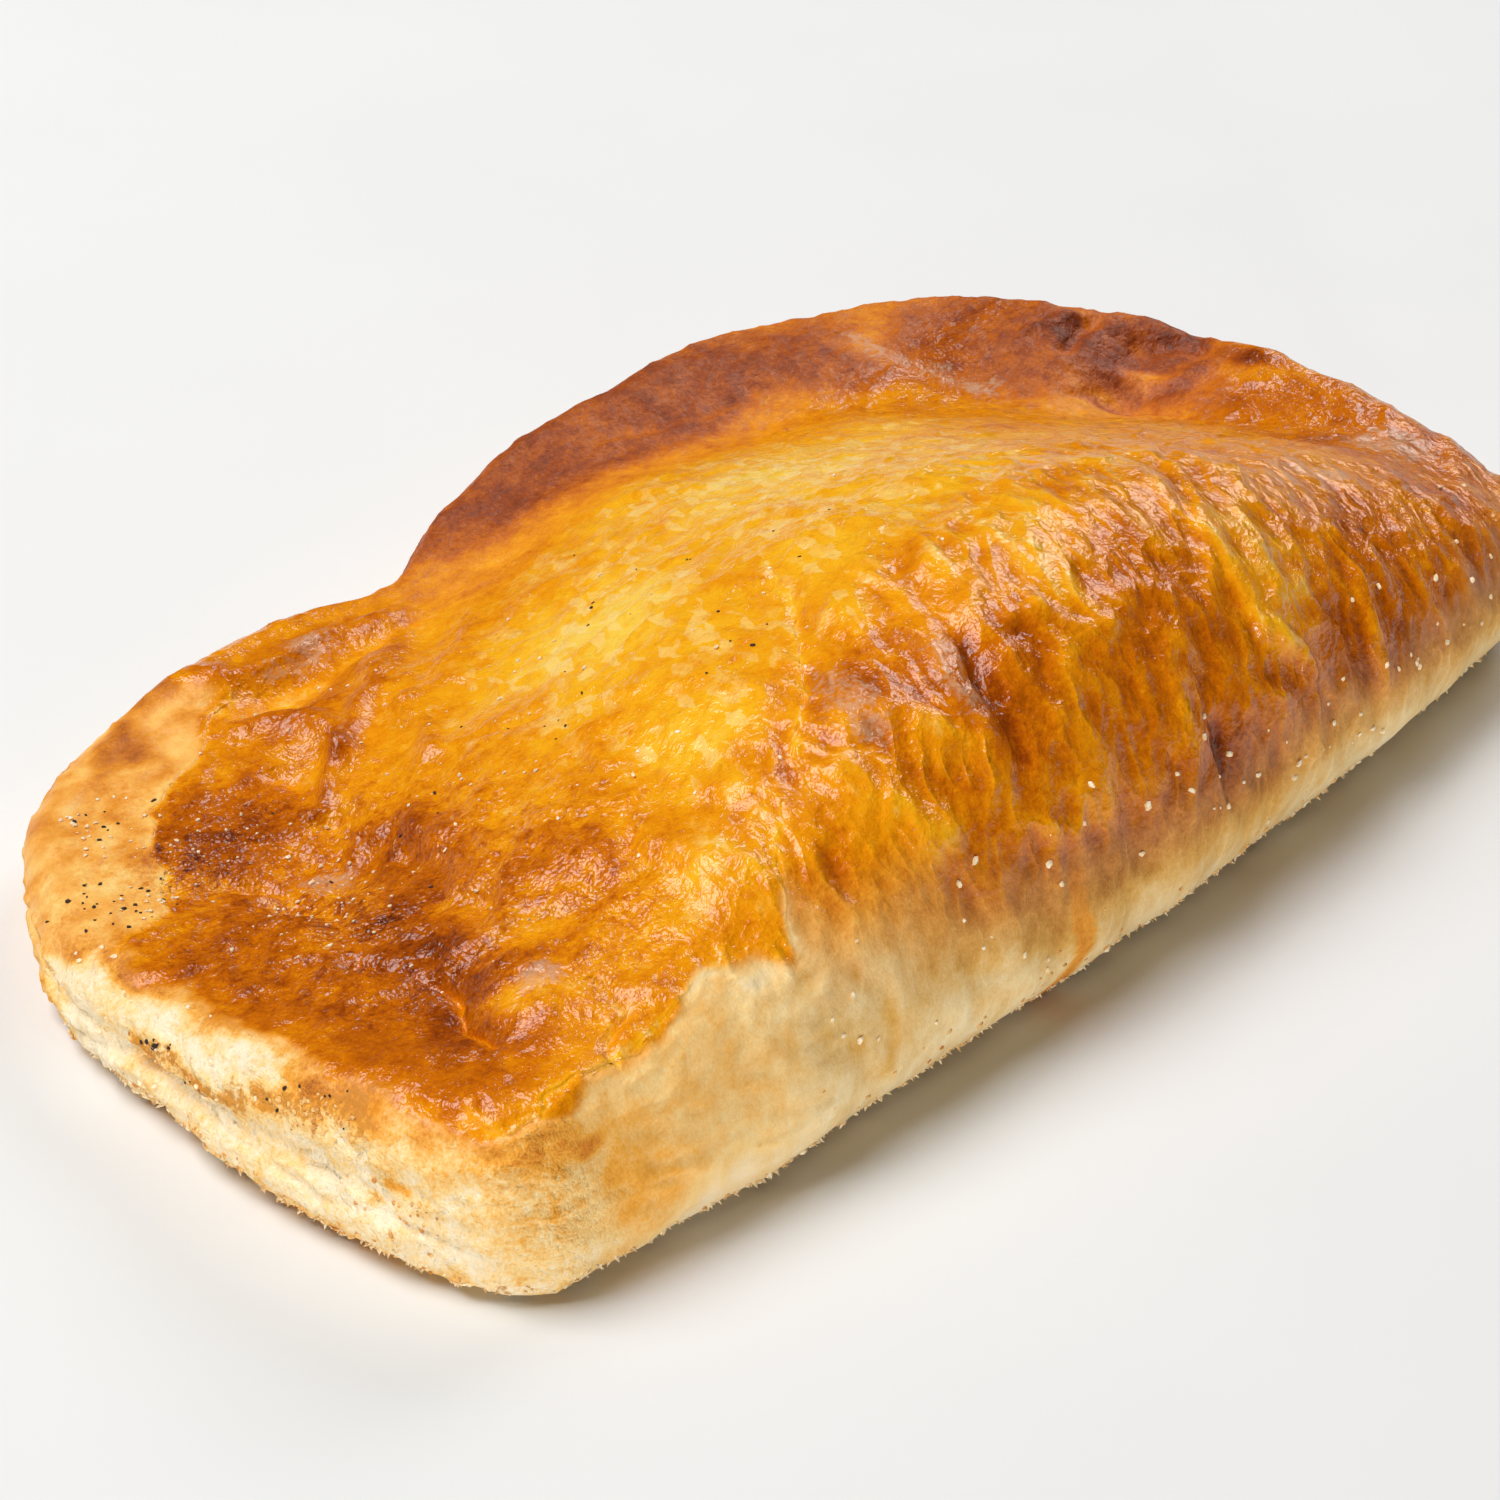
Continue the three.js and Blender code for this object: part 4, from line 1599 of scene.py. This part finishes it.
@dataclass
class PastrySkin:
    """The bridie's whole skin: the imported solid's form with wrinkles, film edges, layers and browning."""

    node: str = "bridie"
    seed: int = 11
    egg_wash: EggWash = EggWash()
    fold_side: FoldSide = FoldSide()
    wrinkles: Wrinkles = Wrinkles()
    dusting: Dusting = Dusting()
    oven: Oven = Oven()

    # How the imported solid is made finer, in millimetres.
    merge_gap: float = 0.001
    base_height: float = 0.2
    divisions: int = 2
    smoothing_rounds: int = 2
    smoothing: float = 0.5
    film_reaches: tuple[float, ...] = (1.1, 0.55)
    film_facing: float = 0.5

    # Relief fades out at the floor, and the fold's lower edge is tucked in.
    shown_z: Pair = (0.0, 1.5)
    tuck: float = 2.0
    tuck_y: Pair = (-20.0, -50.0)
    tuck_z: Pair = (1.6, 0.0)

    def build(self, source: bpy.types.Object) -> bpy.types.Object:
        """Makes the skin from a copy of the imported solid.

        Args:
            source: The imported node.

        Returns:
            The finished piece.
        """
        bm = bmesh.new()
        bm.from_mesh(source.data)
        bmesh.ops.remove_doubles(bm, verts=bm.verts, dist=self.merge_gap * MM)
        for _ in range(self.divisions):
            self.divide(bm)
        for reach in self.film_reaches:
            self.refine(bm, reach)
        bmesh.ops.triangulate(bm, faces=bm.faces)
        piece = new_piece(bm, "pastry_skin")
        piece.data.shade_smooth()
        self.shape(piece.data)
        return piece

    def divide(self, bm: bmesh.types.BMesh) -> None:
        """Splits every edge above the underside and smooths what is there.

        Args:
            bm: The skin.
        """
        base = self.base_height * MM
        upper = [e for e in bm.edges if max(v.co.z for v in e.verts) > base]
        bmesh.ops.subdivide_edges(bm, edges=upper, cuts=1, use_grid_fill=True)
        loose = [v for v in bm.verts if v.co.z > base]
        for _ in range(self.smoothing_rounds):
            bmesh.ops.smooth_vert(
                bm, verts=loose, factor=self.smoothing, use_axis_x=True, use_axis_y=True, use_axis_z=True
            )

    def refine(self, bm: bmesh.types.BMesh, reach: float) -> None:
        """Splits the edges beside the torn film edges once more, so that the tears come out sharp.

        Args:
            bm: The skin.
            reach: How far from a tear edges are split, in millimetres.
        """
        bm.normal_update()
        bm.verts.index_update()
        place = np.array([v.co for v in bm.verts]) / MM
        facing = np.array([v.normal for v in bm.verts])
        skin = SkinPoints(place, facing, SkinNoise(self.seed))
        close = np.zeros(len(place), dtype=bool)
        for film in self.wrinkles.films:
            faced = skin.gate(film.side) > self.film_facing
            close |= (skin.line(film.points, film.side)[0] < reach) & faced
        edges = [e for e in bm.edges if all(close[v.index] for v in e.verts)]
        bmesh.ops.subdivide_edges(bm, edges=edges, cuts=1, use_grid_fill=True)

    def points(self, mesh: bpy.types.Mesh) -> SkinPoints:
        """Reads a mesh's points.

        Args:
            mesh: The mesh.

        Returns:
            Its points and facings.
        """
        place = np.zeros(len(mesh.vertices) * 3)
        facing = np.zeros(len(mesh.vertices) * 3)
        corners = np.zeros(len(mesh.loops), dtype=np.int32)
        area = np.zeros(len(mesh.polygons))
        mesh.vertices.foreach_get("co", place)
        mesh.vertices.foreach_get("normal", facing)
        mesh.loops.foreach_get("vertex_index", corners)
        mesh.polygons.foreach_get("area", area)
        place, facing, corners = (rows.reshape(-1, 3) for rows in (place, facing, corners))
        return SkinPoints(place / MM, facing, SkinNoise(self.seed), corners, area)

    def shape(self, mesh: bpy.types.Mesh) -> None:
        """Raises the skin's wrinkles and keeps its marks at its points.

        Args:
            mesh: The skin's mesh.
        """
        skin = self.points(mesh)
        wash, hanging = self.egg_wash.mask(skin), self.fold_side.hanging(skin)
        rise = self.wrinkles.relief(skin, wash, hanging)
        self.raise_points(mesh, skin, rise)
        masks = SkinMasks(
            wash=wash,
            inside=self.egg_wash.inside(skin),
            past_end=self.egg_wash.past_end(skin),
            hanging=hanging,
            drip=self.fold_side.run_down(skin),
            spice=self.dusting.spice(skin),
            torn=self.wrinkles.torn(skin),
            rise=rise,
        )
        marks = {
            Mark.BAKE: self.oven.bake(skin, masks),
            Mark.WASH: wash,
            Mark.RUFFLE: self.fold_side.ruffle(skin),
            Mark.SPICE: masks.spice,
            # Painted pale sheen, and flour in the groove by the far rim.
            Mark.BLOOM: self.dusting.bloom(skin),
            Mark.GRIT: self.dusting.grit(skin, wash),
            Mark.GLOSS: self.dusting.gloss(skin, wash),
        }
        for mark, values in marks.items():
            layer = mesh.attributes.new(mark.value, "FLOAT", "POINT")
            layer.data.foreach_set("value", values.astype(np.float32))

    def raise_points(self, mesh: bpy.types.Mesh, skin: SkinPoints, rise: np.ndarray) -> None:
        """Moves the mesh's points out by their relief, and none below the floor.

        Args:
            mesh: The skin's mesh.
            skin: Its points so far.
            rise: How far each point stands up, in millimetres.
        """
        _, y, z = skin.place.T
        moved = skin.place + skin.facing * (rise * ramp(z, *self.shown_z))[:, None]
        moved[:, 1] += self.tuck * ramp(z, *self.tuck_z) * ramp(y, *self.tuck_y)
        moved[:, 2] = np.maximum(moved[:, 2], 0.0)
        mesh.vertices.foreach_set("co", (moved * MM).ravel())
        mesh.update()

    def dress(self, piece: bpy.types.Object) -> None:
        """Gives the skin its finish and its place in the model.

        Args:
            piece: The skin.
        """
        piece.data.materials.append(CrustFinish().make())
        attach(piece, BODY)
        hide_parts(self.node)


@dataclass(frozen=True)
class Sprinkle:
    """A soft oval of the skin, how many specks lie on it and how large they are, in millimetres."""

    oval: Oval
    count: int
    small: float
    large: float


@dataclass
class SmallBits:
    """Many small bits of one kind on the crust, as one mesh."""

    name: str
    slot: str
    finish: SpeckFinish

    def dress(self, piece: bpy.types.Object) -> None:
        """Gives the bits their finish and their place in the model.

        Args:
            piece: The bits.
        """
        piece.data.materials.append(self.finish.make())
        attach(piece, BODY)


@dataclass
class Specks(SmallBits):
    """Uneven bits that lie on the skin."""

    sprinkles: tuple[Sprinkle, ...]
    flatness: float
    sunk: float
    seed: int
    uneven: float = 0.28
    longest: float = 1.6

    def build(self, skin: SkinPoints) -> bpy.types.Object:
        """Strews the bits over the skin.

        Args:
            skin: The finished skin's points.

        Returns:
            The finished piece.
        """
        rng = np.random.default_rng(self.seed)
        bm = bmesh.new()
        for sprinkle in self.sprinkles:
            for place, facing in skin.strew(skin.oval(sprinkle.oval), sprinkle.count, rng):
                half = rng.uniform(sprinkle.small, sprinkle.large) / 2
                self.add(bm, Vector(place), Vector(facing), half, rng)
        return new_piece(bm, self.name)

    def add(
        self, bm: bmesh.types.BMesh, place: Vector, up: Vector, half: float, rng: np.random.Generator
    ) -> None:
        """Adds one uneven bit, no lower than the floor.

        Args:
            bm: The mesh that it joins.
            place: Where it lies, in millimetres.
            up: The way the skin faces there.
            half: Half its width, in millimetres.
            rng: The source of its turn and unevenness.
        """
        turn = up.to_track_quat("Z", "Y") @ Quaternion((0, 0, 1), rng.uniform(0, math.tau))
        centre = place + up * half * self.flatness * (1 - 2 * self.sunk)
        long = rng.uniform(1.0, self.longest)
        size = Vector((half * long, half, half * self.flatness))
        matrix = Matrix.LocRotScale(centre * MM, turn, size * MM)
        made = bmesh.ops.create_icosphere(bm, subdivisions=1, radius=1.0, matrix=matrix)
        for vert in made["verts"]:
            vert.co += (vert.co - centre * MM) * rng.uniform(-self.uneven, self.uneven)
            vert.co.z = max(vert.co.z, 0.0)


@dataclass
class FrayedEdge(SmallBits):
    """Thin torn points that stick out of the crust's lower edge, in millimetres."""

    name: str = "frayed_edge"
    slot: str = "crumb"
    finish: SpeckFinish = SpeckFinish("frayed_crumb", "ffeec8", "dcae6a", 0.8, 0.75)
    count: int = 1500
    lowest: float = 1.0
    highest: float = 2.2
    shortest: float = 0.3
    longest: float = 0.85
    slim: float = 0.45
    flatness: float = 0.6
    sides: int = 5
    stand: float = 0.35
    stray: float = 0.6
    seed: int = 31

    def build(self, skin: SkinPoints) -> bpy.types.Object:
        """Sets the points along the lower edge.

        Args:
            skin: The finished skin's points.

        Returns:
            The finished piece.
        """
        rng = np.random.default_rng(self.seed)
        height = skin.place[:, 2]
        chance = ((height > self.lowest) & (height < self.highest)).astype(float)
        bm = bmesh.new()
        for place, facing in skin.strew(chance, self.count, rng):
            out = Vector(facing) + Vector(rng.normal(0.0, self.stray, 3))
            long = rng.uniform(self.shortest, self.longest)
            centre = Vector(place) + out.normalized() * long * self.stand
            flat = Vector((1.0, self.flatness, 1.0))
            bmesh.ops.create_cone(
                bm,
                cap_ends=True,
                segments=self.sides,
                radius1=long * self.slim * MM,
                radius2=0.0,
                depth=long * MM,
                matrix=Matrix.LocRotScale(centre * MM, out.to_track_quat("Z", "Y"), flat),
            )
        for vert in bm.verts:
            vert.co.z = max(vert.co.z, 0.0)
        return new_piece(bm, self.name)


@dataclass(frozen=True)
class Softbox:
    """A soft square lamp: which way it stands from the object, how high, how large and how strong."""

    name: str
    bearing: float
    height: float
    distance: float
    size: float
    power: float


@dataclass
class Studio:
    """The pale floor, the lamps and the camera."""

    target: Triple = (0.0041056, 0.0058633, 0.0)
    bearing: float = -49.697
    elevation: float = 30.0
    distance: float = 0.49263
    lens: float = 109.303
    sensor: float = 36.0
    near_clip: float = 0.01
    floor_half: float = 3.0
    floor_cells: int = 8
    surround: str = "ffffff"
    surround_strength: float = 0.02
    lamps: tuple[Softbox, ...] = (
        Softbox("key_box", -134.0, 61.0, 1.5, 0.95, 23.2),
        Softbox("far_box", 100.0, 38.0, 1.5, 0.67, 7.8),
        Softbox("low_box", -41.0, 2.5, 1.5, 0.13, 10.0),
    )

    def toward(self, bearing: float, elevation: float) -> Vector:
        """Gives the direction from the object to a place round it.

        Args:
            bearing: Degrees round the object; 0 stands on the fold's side.
            elevation: Degrees above the floor.

        Returns:
            A direction of length 1.
        """
        a, e = math.radians(bearing), math.radians(elevation)
        return Vector((math.sin(a) * math.cos(e), -math.cos(a) * math.cos(e), math.sin(e)))

    def build(self) -> None:
        """Makes the floor, the lamps, the surround and the camera."""
        self.lay_floor()
        for lamp in self.lamps:
            self.hang(lamp)
        scene = bpy.context.scene
        world = bpy.data.worlds.new("surround")
        world.use_nodes = True
        backdrop = world.node_tree.nodes["Background"]
        backdrop.inputs["Color"].default_value = linear(self.surround)
        backdrop.inputs["Strength"].default_value = self.surround_strength
        scene.world = world
        scene.view_settings.view_transform = "Standard"
        self.set_camera()

    def lay_floor(self) -> None:
        """Lays the pale floor under the object."""
        bm = bmesh.new()
        cells = self.floor_cells
        bmesh.ops.create_grid(bm, x_segments=cells, y_segments=cells, size=self.floor_half)
        floor = new_piece(bm, "floor")
        floor.data.materials.append(FloorFinish().make())

    def hang(self, lamp: Softbox) -> None:
        """Hangs one lamp, turned to the object.

        Args:
            lamp: The lamp.
        """
        light = bpy.data.lights.new(lamp.name, "AREA")
        light.size = lamp.size
        light.energy = lamp.power
        held = bpy.data.objects.new(lamp.name, light)
        out = self.toward(lamp.bearing, lamp.height)
        held.location = Vector(self.target) + out * lamp.distance
        held.rotation_mode = "QUATERNION"
        held.rotation_quaternion = (-out).to_track_quat("-Z", "Y")
        held.visible_camera = False
        bpy.context.scene.collection.objects.link(held)

    def set_camera(self) -> None:
        """Stands the camera where the photograph was taken from."""
        data = bpy.data.cameras.new("camera")
        data.lens = self.lens
        data.sensor_width = self.sensor
        data.clip_start = self.near_clip
        camera = bpy.data.objects.new("camera", data)
        out = self.toward(self.bearing, self.elevation)
        camera.location = Vector(self.target) + out * self.distance
        camera.rotation_mode = "QUATERNION"
        camera.rotation_quaternion = (-out).to_track_quat("-Z", "Y")
        bpy.context.scene.collection.objects.link(camera)
        bpy.context.scene.camera = camera


def speck_pieces() -> list[Specks]:
    """Lists the small bits that lie on the crust.

    Returns:
        Pale grains, pepper flecks, pale crumbs and toasted crumbs.
    """
    grains = Specks(
        "pale_grains",
        "grain",
        SpeckFinish("pale_grain", "fff2d2", "f4d298", 0.3, 0.3),
        (
            Sprinkle(Oval((-61, 4), (9, 12)), 40, 0.15, 0.42),
            Sprinkle(Oval((-68, 2), (8, 14), 0.3), 24, 0.15, 0.42),
            Sprinkle(Oval((-58, 22), (18, 14), 0.6), 44, 0.15, 0.42),
            Sprinkle(Oval((-72, 18), (6, 6)), 12, 0.25, 0.5),
            Sprinkle(Oval((-65, 34), (10, 7), 0.6), 26, 0.2, 0.5),
            Sprinkle(Oval((-40, 0), (60, 45)), 90, 0.2, 0.5),
            Sprinkle(Oval((10, 15), (80, 12), 0.0, Side.FOLD), 70, 0.25, 0.75),
            Sprinkle(Oval((-6, 9), (30, 7), 0.0, Side.NEAR_END), 40, 0.25, 0.6),
        ),
        flatness=0.8,
        sunk=0.3,
        seed=21,
    )
    pepper = Specks(
        "pepper_flecks",
        "fleck",
        SpeckFinish("pepper", "422610", "1a0e06", 0.3, 0.8),
        (
            Sprinkle(Oval((-75, 20), (8, 9), 0.6), 30, 0.18, 0.55),
            Sprinkle(Oval((-62, 34), (12, 8), 0.6), 8, 0.25, 0.6),
            Sprinkle(Oval((-30, -2), (45, 30)), 30, 0.2, 0.48),
            Sprinkle(Oval((-1, 8.5), (8, 2.6), -0.2, Side.NEAR_END), 13, 0.25, 0.65),
            Sprinkle(Oval((-20, 13), (9, 2.6), -0.2, Side.NEAR_END), 8, 0.25, 0.5),
        ),
        flatness=0.45,
        sunk=0.25,
        seed=22,
    )
    crumbs = Specks(
        "edge_crumbs",
        "crumb",
        SpeckFinish("pale_crumb", "fff0cc", "e0b46c", 0.8, 0.7),
        (
            Sprinkle(Oval((0, 1.4), (84, 1.8), 0.0, Side.FOLD), 420, 0.3, 0.8),
            Sprinkle(Oval((0, 1.6), (44, 2.4), 0.0, Side.NEAR_END), 120, 0.3, 0.8),
        ),
        flatness=0.6,
        sunk=0.3,
        seed=23,
    )
    toasted = Specks(
        "toasted_crumbs",
        "crumb",
        SpeckFinish("toasted_crumb", "f8cc80", "cc8634", 0.6, 0.65),
        (
            Sprinkle(Oval((-4, 2.2), (44, 2.6), 0.0, Side.NEAR_END), 200, 0.2, 0.65),
            Sprinkle(Oval((0, 8.5), (8, 2.4), -0.2, Side.NEAR_END), 36, 0.2, 0.5),
            Sprinkle(Oval((-21, 13), (9, 2.6), -0.15, Side.NEAR_END), 60, 0.2, 0.55),
            Sprinkle(Oval((-32, 7), (9, 4), 0.0, Side.NEAR_END), 24, 0.25, 0.6),
            Sprinkle(Oval((-10, 6), (70, 5), 0.0, Side.FOLD), 40, 0.25, 0.6),
        ),
        flatness=0.6,
        sunk=0.35,
        seed=25,
    )
    return [grains, pepper, crumbs, toasted]


def main() -> None:
    """Builds the pieces in order and reports each one."""
    logging.basicConfig(level=logging.INFO, format="%(message)s")
    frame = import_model()
    Studio().build()
    skin = PastrySkin()
    crust = skin.build(frame["nodes"][skin.node])
    skin.dress(crust)
    log.info("%s: %d faces", crust.name, len(crust.data.polygons))
    finished = skin.points(crust.data)
    for small in [*speck_pieces(), FrayedEdge()]:
        piece = small.build(finished)
        small.dress(piece)
        log.info("%s: %d faces", piece.name, len(piece.data.polygons))


if __name__ == "__main__":
    main()
